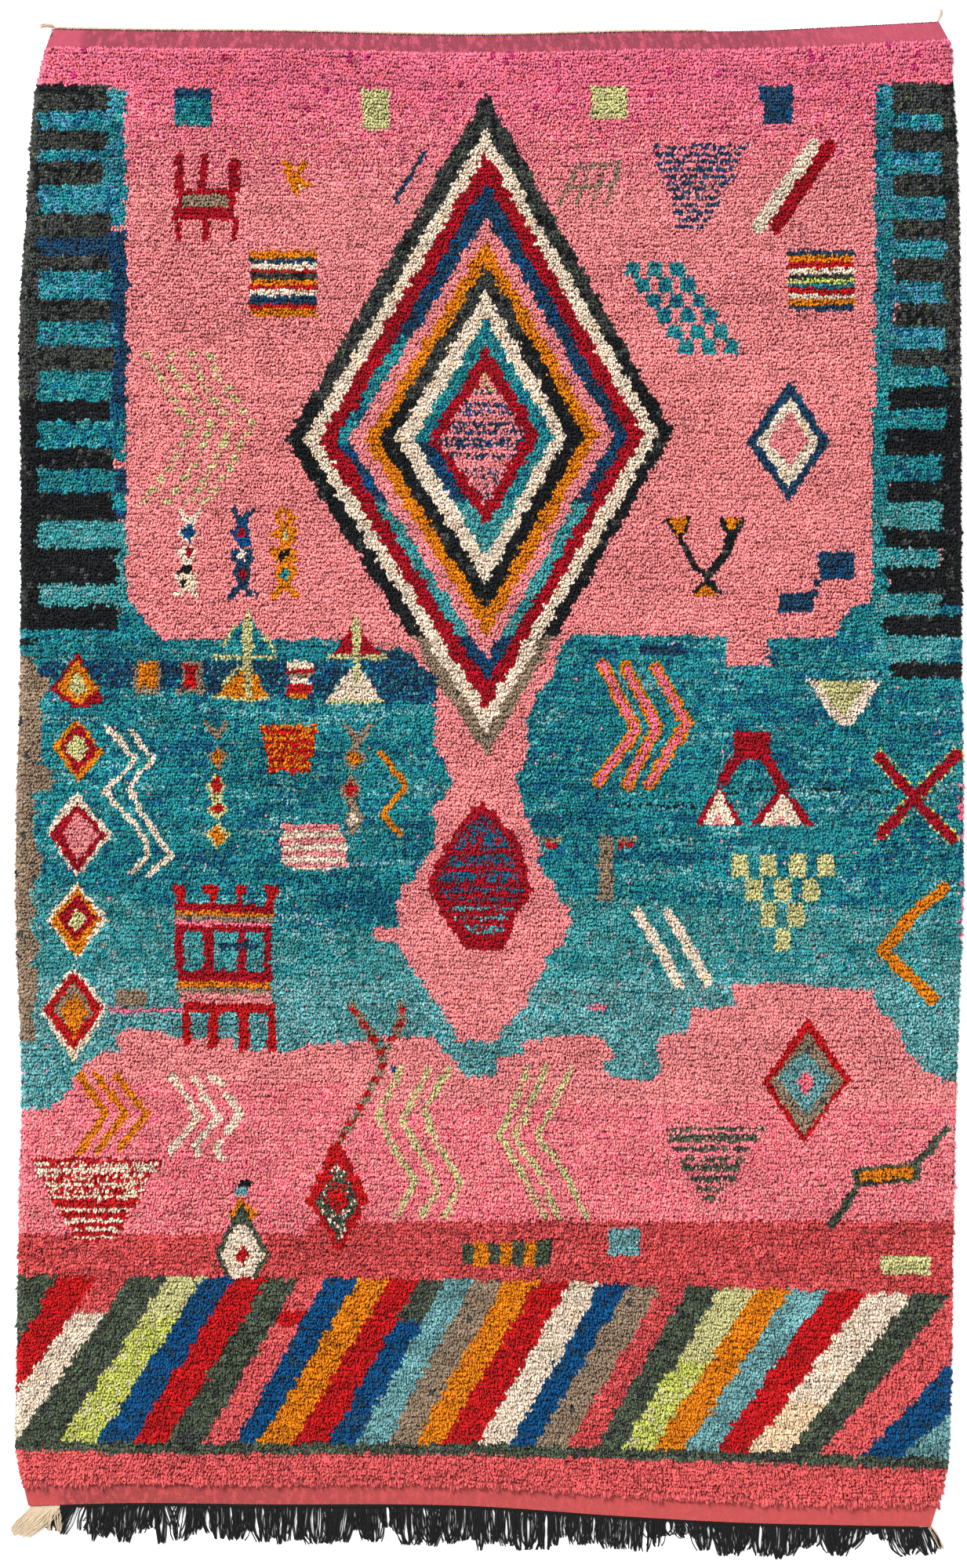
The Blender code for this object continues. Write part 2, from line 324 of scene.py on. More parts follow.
# yarn, first and last row of the strip at the ends of the left bars
LEFT_STRIP = (
    ("blue teal", 28, 71.5), ("navy", 73, 129), ("deep teal", 129, 134), ("blue teal", 135, 146),
    ("navy", 149, 157), ("blue teal", 157, 162), ("navy", 162, 165.5), ("green teal", 166, 192.5),
)
RIGHT_COMB = (
    ("charcoal", 36, 284.5), ("blue teal", 41, 300.5), ("charcoal", 48, 284.5), ("blue teal", 55, 300.5),
    ("charcoal", 62, 285), ("blue teal", 69.5, 301.5), ("charcoal", 76, 285), ("blue teal", 82, 301.5),
    ("charcoal", 89.5, 285.5), ("blue teal", 96.5, 301.5), ("charcoal", 104, 285.5),
    ("blue teal", 111, 301.5), ("charcoal", 116.5, 285), ("blue teal", 123, 301.5), ("black", 130, 283.5),
    ("blue teal", 136.5, 301.5), ("black", 145, 282), ("blue teal", 153, 300.5), ("black", 159.5, 283),
    ("green teal", 168.5, 300.5), ("black", 174.5, 282), ("green teal", 180.5, 299.5),
    ("black", 189, 283), ("green teal", 196, 300.5), ("black", 202.5, 282), ("green teal", 211, 302.5),
    ("black", 216, 284),
)
for yarn, top, foot in LEFT_STRIP:
    paint(yarn, between(r, top, foot) & between(c, 33, 40))
paint("charcoal", (c < 12.5) & between(r, 26.5, 127))
paint("black", (c < 12.5) & between(r, 127, 200.5))
top = LEFT_COMB_TOP
for yarn, foot, end in LEFT_COMB:
    start = 0 if yarn in ("charcoal", "black") else 12
    paint(yarn, between(r, top, foot) & between(c, start, end))
    top = foot
paint_blocks((("blue teal", 279.5, 285, 26.5, 130), ("blue teal", 278.25, 283, 130, 192.5)))
paint("black", between(c, 11.5, 25) & between(r, 26.5, 29.5))
paint("charcoal", (c > 300.5) & between(r, 26, 123))
paint("black", (c > 300) & between(r, 123, 216))
print(len(LEFT_COMB) + len(RIGHT_COMB), "comb bars")

# %% Teal field
TEAL_FIELD = (
    (0, 200.5), (37.5, 200.5), (37.5, 191.5), (40.5, 191.5), (47, 199), (51.5, 203.5), (106.5, 203.5),
    (124, 207), (128, 207), (182, 202.5), (231.5, 202.5), (231.5, 212), (245, 212), (245, 203),
    (266, 203), (269.5, 196), (273.5, 192), (312, 192.5), (312, 345.5), (300, 344.5), (294.5, 341),
    (291, 336), (286, 331), (287, 329), (280, 321.5), (278.5, 319), (279, 315.5), (262.5, 315),
    (248.5, 313), (233, 314), (235, 320.5), (221, 321.5), (219, 325), (220.5, 328.5), (212.5, 329.5),
    (210, 331), (210, 341), (208, 344.5), (199.5, 344), (193, 342), (192, 338.5), (196, 338),
    (194, 331.5), (188.5, 330), (177, 330), (166, 332.5), (167, 336), (158, 337), (157.5, 343),
    (147.5, 342.5), (145, 338), (141, 335), (138.5, 331), (117.5, 330.5), (116.5, 332), (98, 333),
    (94, 335), (74, 334.5), (74.5, 331), (54, 330.5), (50, 328), (41, 328), (36, 331.5), (38, 335),
    (32.5, 335), (26.5, 339), (24, 343.5), (21, 349.5), (18.5, 352), (14, 353.5), (0, 353.5),
)
PINK_NECK = (
    (120, 200), (128, 207), (133, 214), (138, 222), (139, 239), (144, 247.5), (145, 250), (139, 256),
    (137.5, 260), (139.5, 262), (138, 270), (133.5, 277), (133, 280), (128, 283), (126, 291),
    (127, 295.5), (119.5, 296), (119.5, 300), (126, 300), (130, 307.5), (136, 315), (140, 320.5),
    (145, 330), (144, 332), (157.5, 332), (160, 328), (168, 320.5), (169.5, 314.5), (173, 311),
    (174, 305), (179, 301), (182.5, 292.5), (180.5, 288.5), (177, 285.5), (177.5, 282.5), (174, 278),
    (170.5, 275.5), (173, 272.5), (171, 266), (168, 260.5), (166, 253), (164.5, 249.5), (167, 243.5),
    (169, 237.5), (168, 230), (172, 220), (175.5, 216), (178, 209), (182, 202), (182, 200),
)
NAVY_BAND = (
    (12, 212), (18, 210.5), (105, 210.5), (123, 207.5), (130, 207.5), (139, 216), (139, 224), (80, 222),
    (32, 218.5), (18, 216), (12, 215.5),
)
# row and column of the taupe selvedge's edge
TAUPE_EDGE = (
    (209, 10), (213, 10.5), (216, 15.5), (220, 15.5), (221, 13), (241, 13), (243, 12), (245, 16.5),
    (251, 16.5), (252.5, 10.5), (260, 11.5), (265, 9.5), (271, 11.5), (274.5, 13), (279, 12.5), (283, 10),
    (286, 8.5), (289, 12), (294, 9.5), (298, 11), (302, 14), (304, 11), (306.5, 9), (309.5, 13),
    (314, 11), (317.5, 12.5), (320.5, 10.5), (324, 9), (329, 11.5), (332, 11.5),
)
field = inside(TEAL_FIELD)
paint("blue teal", field)
# the field is greener below a line through these places
GREENER_COLUMNS = (0, 25, 30, 55, 86, 126, 170, 198, 220, 310)
GREENER_ROWS = (282, 283, 285, 290, 296, 296, 285, 286, 289, 289)
streaks = patches(14, 2.4, 5)
paint("deep teal", field & (streaks < 0.2), 0.7)
paint("pale teal", field & (streaks > 0.8), 0.5)
greener = field & (r > np.interp(c, GREENER_COLUMNS, GREENER_ROWS))
paint("green teal", greener)
paint("pale teal", greener & (streaks > 0.72), 0.6)
paint("pale teal", field & (r > 312), 0.6)
paint("salmon", field, 0.004)
top = RIGHT_COMB_TOP
for yarn, foot, place in RIGHT_COMB:
    start, end = (place, 320) if yarn in ("charcoal", "black") else (279, place)
    paint(yarn, between(r, top, foot) & between(c, start, end))
    top = foot
paint("salmon", inside(PINK_NECK))
paint("navy", inside(NAVY_BAND))
paint("blue teal", inside(NAVY_BAND), 0.2)
taupe_rows, taupe_columns = zip(*TAUPE_EDGE)
paint("taupe", between(r, 209, 332) & (c < np.interp(r, taupe_rows, taupe_columns)))
paint("black", inside(((6, 203), (13.5, 204), (9, 206), (6, 206))))
print(np.count_nonzero(field), "tufts in the teal field")

# %% [markdown]
# ### Medallions
# The middle figure is a set of lozenges inside each other, each ring a new yarn. Where the weaver ran
# out of one dye, the ring goes on in the next: charcoal turns black, and navy turns teal.

# %% Large medallion
# from the outside in: yarn, top row, right column, foot row, left column
MEDALLION = (
    ("charcoal", 29, 214.5, 241, 91), ("cream", 40, 210, 234, 96.5), ("wine", 48, 205, 226, 101.5),
    ("navy", 57, 200, 217.5, 107), ("pink", 68.5, 195.5, 210, 111), ("orange", 76, 191, 202.5, 116),
    ("charcoal", 84, 186.5, 195, 120.5), ("cream", 92, 181, 186, 125.5),
    ("blue teal", 101, 176.5, 177, 132), ("wine", 110, 172, 167.5, 136.5), ("pink", 118, 167.5, 161, 140),
)
for yarn, top, right, foot, left in MEDALLION:
    ring = inside(((155, top), (right, 138.5), (155, foot), (left, 140)))
    paint(yarn, ring)
    if yarn == "charcoal":
        paint("black", ring & (r > np.where(c < 155, 127, 107)))
        paint("taupe", ring & (r > 202.75) & (top < 30))
    if yarn == "navy":
        paint("blue teal", ring & (r > np.where(c < 155, 107, 156)) & (r < 141))
        paint("green teal", ring & between(r, 160, 202.5))
    if yarn == "blue teal":
        paint("navy", ring & between(r, 141, 159.5) & (c < 155))
        paint("green teal", ring & (r > 159.5))
core = inside(((155, 118), (167.5, 138.5), (155, 161), (140, 140)))
for row in (124.75, 129, 131.25, 135, 137.25, 140, 141.75, 145):
    paint("navy", core & (np.abs(r - row) < 0.8), 0.6)
paint("navy", core & (r > 149), 0.25)
paint("lime", core & (r < 125), 0.25)
print("core of", np.count_nonzero(core), "tufts")

# %% Small medallions
SMALL_MEDALLION = (
    ("navy", 121, 265, 159.5, 238), ("cream", 126, 261.5, 155.5, 241.5), ("pink", 130.5, 258, 148.5, 245),
)
for yarn, top, right, foot, left in SMALL_MEDALLION:
    paint(yarn, inside(((252, top), (right, 140.5), (251.5, foot), (left, 140.5)), small=True))
NECK = (
    (154, 255), (166, 269), (169.5, 283), (165, 292), (160.5, 303), (149, 303), (141, 292), (136, 282.5),
    (144, 266),
)
NECK_INSIDE = (
    (154, 259), (163.5, 270), (166.5, 283), (162.5, 292), (159, 298), (151, 298), (144, 292),
    (139, 282.5), (146.5, 266),
)
inner = inside(NECK_INSIDE)
paint("wine", inside(NECK))
paint("deep teal", inner, 0.62)
paint("navy", inner & (r < 262), 0.5)
paint("green teal", inner & (r > 289), 0.6)
for row in (271.5, 277, 282, 285.5, 288, 291.25, 294):
    paint("wine", inner & (np.abs(r - row) < 0.8), 0.75)
print("neck lozenge of", np.count_nonzero(inner), "tufts")

# %% [markdown]
# ### Small figures
# Between the large figures the weaver fills the field with bars, checks, ladders, chains of lozenges
# and cups. They are knotted in the order of these tables, later ones over earlier ones.

# %% Squares, bars and checks
SQUARES = (
    ("navy", 55.5, 67.5, 27.5, 31), ("blue teal", 55.5, 67.5, 31, 39.5),
    ("pale lime", 115.5, 124, 28, 41), ("pale lime", 188.5, 200, 27, 37.5), ("navy", 242, 253, 27, 32),
    ("navy", 243.5, 252.5, 32, 39),
)
# first and last column, top row, then the yarn and the last row of each bar down the stack
STACKS = (
    (
        79.5, 101, 79.5, ("orange", 82), ("navy", 83.5), ("cream", 85.5), ("red", 86.5), ("charcoal", 89),
        ("orange", 90.5), ("red", 92), ("cream", 94), ("navy", 96.5), ("red", 98),
    ),
    (
        251.5, 272.5, 79.5, ("navy", 81), ("orange", 83), ("red", 85), ("cream", 87), ("charcoal", 88.5),
        ("lime", 90), ("blue teal", 91.5), ("red", 93.5), ("cream", 95), ("orange", 97), ("navy", 98.5),
    ),
)
BARS = (
    # the narrower last bar of the left stack
    ("orange", 80, 101, 98, 100.5),
    # the small figure of the teal field
    ("cream", 91.5, 100, 210.5, 213), ("red", 91, 100, 213, 214.5), ("taupe", 92, 99, 214.5, 216),
    ("cream", 92, 99, 216, 218), ("red", 91, 99.5, 218, 221), ("orange", 92, 98, 221, 222.5),
    # pink and cream block
    ("pink", 90, 108, 262.5, 265), ("cream", 89.5, 109, 265, 267), ("pink", 89, 110, 267, 269),
    ("cream", 89.5, 110, 269, 271), ("pink", 89.5, 110, 271, 273), ("cream", 90, 110.5, 273, 275),
    ("pink", 91, 111, 275, 276.5), ("cream", 93, 105, 276.5, 277.5),
    # red comb at the top left
    ("wine", 55.5, 58.5, 49, 61), ("wine", 63.5, 66, 49, 61), ("wine", 73, 76.5, 50, 61),
    ("wine", 57.5, 75, 60, 61.5), ("wine", 56.5, 58, 61, 67), ("wine", 72.5, 75, 61, 67),
    ("taupe", 58, 72.5, 61.5, 66), ("wine", 55, 74.5, 65.75, 69.75), ("wine", 56, 57.75, 70, 76.5),
    ("wine", 64.5, 67, 70, 76), ("wine", 73.75, 75.5, 69, 76.5),
    # the two small figures beside the red comb
    ("cream", 94, 96.5, 57.5, 60), ("navy", 187.5, 197.5, 206.75, 208), ("navy", 204, 218, 205.5, 208.5),
    # orange block and red block of the teal field, on their taupe borders
    ("taupe", 42.75, 50.75, 210.5, 221), ("orange", 44, 50, 211, 219), ("taupe", 57.75, 64.5, 210.5, 221),
    ("taupe", 56, 64.75, 219, 221), ("red", 58.5, 62.5, 211.75, 219),
    # steps of navy squares
    ("navy", 261, 272.5, 175.75, 184.5), ("navy", 248.5, 259.5, 188.75, 195),
    ("navy", 259.5, 262, 184.5, 186.5), ("navy", 258, 260.5, 188, 190),
    # taupe marks on the right of the teal field
    ("taupe", 172.5, 179.5, 266.75, 268.5), ("red", 174, 178, 268.25, 270),
    ("taupe", 191, 195.5, 266.5, 287), ("taupe", 197, 203.5, 266.75, 268.5),
    ("red", 197.5, 201.5, 268.25, 270.25),
    # taupe mark and pink line beside the chain of lozenges
    ("taupe", 36.5, 46.5, 315.5, 321), ("rose", 34.5, 58, 321.25, 322.75),
    ("rose", 187, 193.5, 320.5, 322),
    # crimson band: green and orange bars, blue square, lime bar
    ("bottle green", 147.5, 151, 396.5, 402.5), ("orange", 151, 156, 396, 404),
    ("bottle green", 156, 159.5, 396.5, 403), ("orange", 159.5, 163.25, 396.5, 403.75),
    ("bottle green", 163.25, 167.25, 396, 403.75), ("orange", 167.25, 171, 396, 403.75),
    ("bottle green", 171, 175.75, 395.5, 403.5), ("light blue", 194, 204, 391.5, 400.5),
    ("pale lime", 281, 297, 400.5, 406.5),
)
RED_LADDER = (
    # top comb, three bars and their posts; it leans down to the right
    ("red", 55, 59, 282, 285), ("red", 56.25, 58.75, 285, 288), ("red", 64.75, 69.5, 282, 284.5),
    ("red", 66.5, 68.5, 284.5, 288), ("red", 75, 78.5, 281.5, 284.5), ("red", 75.75, 77.5, 284.5, 288),
    ("red", 84, 88.5, 281.5, 284), ("red", 85, 87.25, 284, 288), ("wine", 55.5, 87.5, 287.75, 290.25),
    ("orange", 55.5, 87.5, 290.25, 291.5), ("taupe", 55.5, 86.5, 291.5, 293.25),
    ("rose", 55, 86, 293.25, 295), ("wine", 55.5, 86.5, 294.75, 296.5), ("wine", 55.5, 58.5, 296.5, 309),
    ("wine", 64.75, 68, 296.5, 309), ("wine", 75.75, 78.5, 296.5, 309), ("wine", 84, 86.5, 296.5, 309),
    ("wine", 56.5, 86.75, 309, 312.75), ("orange", 56.25, 86.5, 312.5, 314.5),
    ("taupe", 56.25, 86.5, 314.5, 316.25), ("pink", 57.25, 86.5, 316.25, 319.5),
    ("red", 58, 87.5, 319.5, 322.5), ("red", 58, 60.75, 322.5, 333), ("red", 66.25, 69.5, 322.5, 333.75),
    ("red", 75.75, 79.25, 322.5, 334.5), ("red", 85.25, 88, 322.5, 334.5),
)
CHECKS = []
for step in range(6):
    for column in range(3):
        start, top = 199.3 + 3.45 * step + 7.2 * column, 83.2 + 4.95 * step
        CHECKS.append(("blue teal", start, start + 4.5, top, top + 4.7))
for step in range(4):
    for column in range(4 - step):
        start, top = 233.4 + 4.5 * step + 9.1 * column, 272.2 + 7.9 * step
        CHECKS.append(("pale lime", start, start + 5.2, top, top + 7.3))
paint_blocks(SQUARES)
for start, end, top, *bars in STACKS:
    for yarn, foot in bars:
        paint_blocks([(yarn, start, end, top, foot)])
        top = foot
paint_blocks(BARS)
paint_blocks(CHECKS)
ladder_lean = np.clip((c - 55) / 33, 0, 1) * 0.75
for yarn, start, end, top, foot in RED_LADDER:
    paint(yarn, between(calm_c, start, end) & between(calm_r - ladder_lean, top, foot))
paint_blocks((("navy", 69.5, 82, 300.5, 302.5), ("blue", 124.25, 126.5, 339.5, 341.5)))
blocks = SQUARES + BARS + RED_LADDER
print(len(blocks) + len(CHECKS), "blocks and", len(STACKS), "stacks of bars")

# %% Lozenges and triangles
LOZENGES = (
    ("wine", (24.5, 207.75), (33, 224), (24.5, 226), (15.5, 220)),
    ("orange", (24.5, 210), (31.25, 219), (24.5, 225), (17.75, 218.5)),
    ("pale lime", (24.5, 214), (28.25, 219), (24.5, 222.5), (21, 218.5)),
    ("orange", (24.5, 229), (32.75, 239.75), (24.5, 249), (16.25, 237.5)),
    ("wine", (24.5, 230.25), (31, 239), (24.5, 246), (19, 238)),
    ("pale lime", (24.5, 233.5), (28.25, 238.5), (24.5, 243.5), (20, 238)),
    ("cream", (24, 252), (35.75, 266), (24.5, 280), (14.25, 265)),
    ("wine", (24.5, 256), (33.5, 266), (24.5, 278), (15.5, 265.5)),
    ("pink", (24.5, 258.25), (31.5, 266), (24.5, 275), (20, 265.5)),
    ("cream", (24.25, 281), (34.5, 293), (24.25, 306), (14.25, 293.25)),
    ("orange", (24.5, 283), (32, 292.5), (24.25, 305), (16, 293.25)),
    ("wine", (24.25, 285.25), (30.25, 291.75), (24.25, 300), (18.25, 292.75)),
    ("pale lime", (24.25, 289.5), (27.5, 293), (24.25, 297.5), (21, 293.5)),
    ("cream", (23.5, 307.5), (34.5, 321.5), (23.25, 339), (12.5, 322)),
    ("red", (23.5, 309.5), (32.75, 321.5), (23.25, 335), (13.5, 322)),
    ("taupe", (23.75, 313), (30, 322.5), (23.5, 330), (16.5, 321.75)),
    ("orange", (23.75, 316.5), (28.25, 322), (23.5, 331), (19, 322)),
    ("taupe", (69.25, 237.5), (73, 241), (69.5, 246), (66.25, 241)),
    ("orange", (69.25, 238.5), (71.5, 241), (69.5, 244.5), (67, 241)),
    ("pale lime", (69, 246), (72, 250.5), (69.25, 257.5), (65.5, 250.5)),
    ("red", (69, 247), (71, 250), (69, 253), (66.75, 250)),
    ("pale lime", (69.25, 254.5), (73, 258), (69.25, 261.5), (65.5, 258)),
    ("red", (69.25, 255.5), (71, 257.5), (69.25, 259.5), (67.25, 257.5)),
    ("pale lime", (69.25, 261.75), (73.25, 265.75), (69.25, 270.5), (65, 265.75)),
    ("orange", (69.25, 263), (71.25, 265.75), (69.25, 269.5), (67, 265.75)),
    ("taupe", (113, 237), (117, 241.5), (113, 246), (109, 241.5)),
    ("orange", (113, 239), (115.75, 241.5), (113, 244), (110.5, 241.5)),
    ("taupe", (112, 246), (115.5, 251.5), (112, 259), (108, 251.5)),
    ("red", (112, 249), (114.25, 251.5), (112, 254), (109.75, 251.5)),
    ("taupe", (112.25, 255.5), (116.25, 261), (112, 266.5), (109.5, 261)),
    ("cream", (112.25, 258.5), (114, 261), (112.25, 263.5), (110.5, 261)),
    ("red", (257.5, 324.5), (271.5, 344), (256.5, 364.5), (243, 345.5)),
    ("taupe", (257.5, 329), (269.25, 344.5), (256.5, 362), (245.5, 345)),
    ("light blue", (256.5, 335), (265.5, 344.5), (257, 355.5), (248, 343.5)),
    ("hot pink", (257, 341), (260, 345), (257, 349), (254, 345)),
    ("orange", (77.25, 382), (82, 387), (77.25, 392), (72.5, 387)),
)
TRIANGLES = (
    ("blue teal", (79, 195.5), (88.25, 209.5), (67.5, 209.5)),
    ("pale lime", (79, 193.5), (80.5, 200), (80.5, 222), (77, 222), (77, 200)),
    ("orange", (79, 211.5), (85.75, 222.5), (67.25, 222.5)),
    ("pale lime", (79, 206), (80, 208), (80, 222), (77.5, 222), (77.5, 208)),
    ("wine", (113, 198.5), (121.5, 208.5), (106, 208.5)),
    ("pale lime", (113.5, 195.5), (115, 200), (115, 210), (112, 210), (112, 200)),
    ("pale lime", (104, 208.5), (123.5, 208.5), (123.5, 210), (104, 210)),
    ("cream", (113.5, 210.5), (122.5, 223.75), (103, 223.75)),
    ("cream", (256, 214.5), (258, 216.5), (281.5, 217), (272, 231), (266.5, 231)),
    ("pale lime", (261.5, 216.5), (277, 217), (269.5, 227.5), (266, 226)),
    ("wine", (229.25, 250), (237, 263), (221.5, 263)), ("wine", (249.75, 250), (259.5, 263), (239, 263)),
    ("wine", (234, 233), (245.5, 233), (245.5, 242), (234, 242)),
    ("wine", (234, 240), (237.5, 241), (231.5, 250.5), (228, 249)),
    ("wine", (242, 241), (246, 241), (252, 251), (248, 252)),
    ("cream", (229.75, 251.5), (234.75, 263), (223.5, 263)),
    ("cream", (249.75, 252.5), (256, 263), (242.5, 263)),
    ("pink", (229, 259), (231.5, 263), (226.5, 263)), ("pink", (249, 260), (251.5, 263), (246.5, 263)),
)
CHAINS = (
    # three hanging chains of lozenges: cream, navy and orange
    ("cream", (60, 166), (62.75, 169.5), (60, 173.5), (56, 169.5)),
    ("blue", (59.8, 166.5), (61.8, 169), (60, 173), (57.8, 169)),
    ("cream", (59.5, 173), (63, 175), (62, 178.5), (60, 180), (57.5, 179), (56, 175.5)),
    ("wine", (60, 173.5), (61.75, 175.5), (60, 178.5), (59, 175.5)),
    ("cream", (55.5, 183), (58, 181.5), (63, 182.5), (62.5, 187.5), (58, 187.5), (56, 185)),
    ("black", (57.5, 179.9), (61.3, 179.9), (61, 182), (56.2, 182.6)),
    ("black", (57.3, 184.5), (59.7, 184.5), (58.5, 187)),
    (
        "blue", (75.5, 165), (79, 165), (79.3, 168), (80, 171), (79, 174.5), (76.5, 174.5), (75, 171.5),
        (72.7, 169), (75.5, 167),
    ),
    ("wine", (77, 167), (78.75, 169.5), (77.3, 172), (75.3, 170)),
    (
        "navy", (74, 175), (80.8, 175), (80.8, 178), (79.5, 179.5), (80, 185), (78, 187.5), (76, 186),
        (74.5, 182.5), (75, 179), (73.5, 178),
    ),
    ("cream", (77, 174), (79, 176), (77.5, 178.4), (75.3, 177)),
    ("wine", (77.3, 180.2), (78.9, 183), (77.5, 185.3), (75.6, 182.7)),
    ("orange", (90.5, 166.5), (95, 168.5), (94, 172), (91, 175), (88, 171.5), (86, 169.7)),
    ("pale lime", (90, 168.5), (92, 169.3), (91.5, 172.3), (90.2, 171)),
    ("orange", (85.5, 174), (91, 174.5), (94, 175), (94.5, 178), (91.5, 180), (89, 179), (86.5, 177.5)),
    ("black", (88.7, 176), (93.5, 174.7), (91.5, 177), (90, 178.8), (88.6, 178)),
    ("orange", (88, 179.5), (93, 179.5), (95, 182.5), (92.5, 185.5), (90, 187), (88, 185)),
    ("blue teal", (90.3, 180), (92.5, 182.7), (90.7, 185.7), (89.4, 184)),
)
FORK = (
    ("black", (211.3, 164.7), (220.3, 164.7), (218.7, 169.5), (216.5, 172), (214.5, 170)),
    ("orange", (213, 164.7), (219, 164.7), (217.7, 169.3), (215.3, 169.8)),
    ("black", (229.3, 164.7), (238.3, 165), (235.7, 170), (233, 172), (230.7, 169)),
    ("orange", (230.7, 164.7), (236.7, 165.3), (233.2, 170.3)),
    ("black", (225.5, 183.5), (228, 186.3), (230.7, 188.5), (229, 189), (220, 188.8), (223, 186)),
    ("orange", (225, 185.7), (228.3, 189.6), (221, 189.9)),
)
paint_shapes(LOZENGES + TRIANGLES + CHAINS + FORK)
print(len(LOZENGES + TRIANGLES + CHAINS + FORK), "shapes")

# %% Lines, chevrons and zigzags
# yarn, width in knots, then the places
LINES = (
    ("orange", 2.6, (91, 51.5), (94.5, 60.5)), ("orange", 2.2, (96.5, 51.5), (94.5, 55.5), (98, 59)),
    ("cream", 4.5, (259.5, 46), (242, 72)), ("wine", 4.5, (264.5, 46), (247.5, 72)),
    ("cream", 1.7, (57.5, 162.5), (60.2, 166.5), (63.3, 162.7)),
    ("cream", 1.8, (55.5, 189), (60.3, 187.3), (62.5, 189.5)),
    ("navy", 1.7, (74.3, 162), (75.2, 164.7), (78, 165.2), (80.3, 163)),
    ("navy", 2, (73.7, 189.7), (76.7, 186), (79.3, 189)), ("navy", 1.2, (80.3, 188.3), (82, 189.3)),
    ("orange", 1.9, (90, 162.7), (88, 163), (89, 166), (91, 167.5), (93.5, 165), (92, 162.7)),
    ("orange", 2, (87.3, 189.7), (90.8, 186), (94.7, 189.5)),
    ("black", 2, (216, 170.5), (218.5, 174.5), (221.5, 180.5), (225.5, 183)),
    ("black", 3, (233.5, 170), (231.5, 176), (226, 183)),
    ("pale lime", 1.3, (67.5, 209.2), (87.5, 209.2)),
    ("pale lime", 1.1, (68, 221.8), (79, 223), (86, 222.7)),
    ("pale lime", 1, (74.5, 199.5), (71, 206)), ("pale lime", 1, (84, 202.5), (87.5, 207.5)),
    ("pale lime", 1.4, (75.5, 212.5), (71, 218)), ("pale lime", 1.4, (106, 223.6), (122, 223.4)),
    ("pale lime", 2, (113.5, 210), (113.5, 217)),
    ("navy", 1.4, (135.25, 48), (125.75, 64)),
    ("taupe", 1.2, (184, 53), (197.5, 51.5)), ("taupe", 1.2, (181, 59.5), (195, 58.5)),
    ("taupe", 1.2, (184, 53), (178.5, 65)), ("taupe", 1.2, (188.5, 52.5), (183.5, 65.5)),
    ("taupe", 1.2, (193, 52), (188.5, 65.5)), ("taupe", 1.2, (197.5, 51.5), (193.5, 65)),
    (
        "cream", 1.9, (34, 232), (37.5, 235), (40.5, 239.5), (43, 242), (37, 248.5), (33.5, 251.5),
        (36.5, 256), (42, 262), (46, 268), (47, 272.5), (41, 278.5),
    ),
    (
        "cream", 1.9, (42, 233), (45, 238), (49, 242), (44.5, 246), (41, 251.5), (44, 257), (47, 262),
        (50.5, 268), (54.3, 272.3), (47.5, 279),
    ),
    ("taupe", 2, (65.5, 230.5), (69.25, 235), (72, 230.5)),
    ("taupe", 2, (110.5, 231.5), (114.25, 236), (118, 231.5)),
    ("taupe", 1.8, (114, 235), (113.5, 239)),
    ("orange", 2, (121.5, 240), (129.5, 250.5), (122, 259.5), (127.25, 265.75)),
    ("cream", 3.5, (203.5, 291), (209, 300), (216.5, 313.5)),
    ("cream", 3.25, (213, 291), (219, 300.5), (225.5, 313)),
    ("orange", 4, (301.5, 283), (293, 289.5), (281.5, 303), (290, 311), (297.5, 318.5)),
    (
        "taupe", 2.8, (112, 320.5), (117, 328), (120.5, 334), (122.3, 338), (121, 342), (114.5, 354),
        (107.5, 365),
    ),
    ("taupe", 2.6, (127.5, 320.5), (128.3, 325.5), (123, 334), (121.5, 336)),
    ("green teal", 1.5, (121.2, 332), (121.7, 333)), ("black", 0.5, (196, 256.2), (222, 257)),
    ("black", 0.45, (232, 252.5), (247, 251.5)), ("black", 0.5, (250, 251), (285, 252.5)),
    ("cream", 2.25, (54.5, 343), (57.5, 347)),
    ("cream", 2.25, (59, 349), (63, 356.5), (56, 365), (54.5, 367.5)),
    ("cream", 2.25, (61.5, 343), (64, 347)),
    ("cream", 2.25, (64.5, 349), (69.5, 356), (62.5, 365), (63, 368.5)),
    ("cream", 2.25, (67, 343), (70.5, 346)), ("cream", 2.5, (72, 348.5), (76.5, 354.75), (72.5, 361)),
    ("cream", 2.25, (70.5, 364), (69, 367), (70.5, 369)),
    ("bottle green", 2.4, (302, 360), (297, 366), (292, 371)),
    ("bottle green", 6.2, (275, 375), (290.5, 373.8)), ("orange", 3.6, (276, 375), (289.7, 373.7)),
    ("bottle green", 2.6, (273.3, 378), (268.5, 386), (265, 390.5)),
)
ORANGE_CHEVRONS = (
    ((25.25, 342.5), (33.5, 355.25), (25.25, 367)), ((30.5, 342.75), (40, 355), (31, 367)),
    ((37, 343), (46.75, 355.25), (38, 366)),
)
PINK_CHEVRONS = (
    ((192, 211.5), (203, 232.75), (190.5, 249)), ((199.5, 212.5), (209.5, 231.5), (200, 250)),
    ((209.25, 213), (219, 230.5), (207, 250)),
)
GREEN_DOTTED = (
    (
        (46, 112), (50, 118), (53, 124), (57.5, 131), (62, 136), (58, 140.5), (56.5, 145), (53, 150),
        (50, 154.5), (45, 160),
    ),
    (
        (54.5, 112), (54, 116), (60, 124), (65, 132.5), (67.5, 135), (66, 138.5), (61.5, 148), (56, 156),
        (52.5, 160),
    ),
    ((60.5, 112), (63.5, 119.5), (68, 127), (73.5, 134), (72, 139), (67, 149), (62, 156.5), (59.5, 160)),
    ((67, 112), (69, 119), (75, 127.5), (80.5, 135), (76, 142), (73, 149.5), (67.5, 157), (65, 159.5)),
)
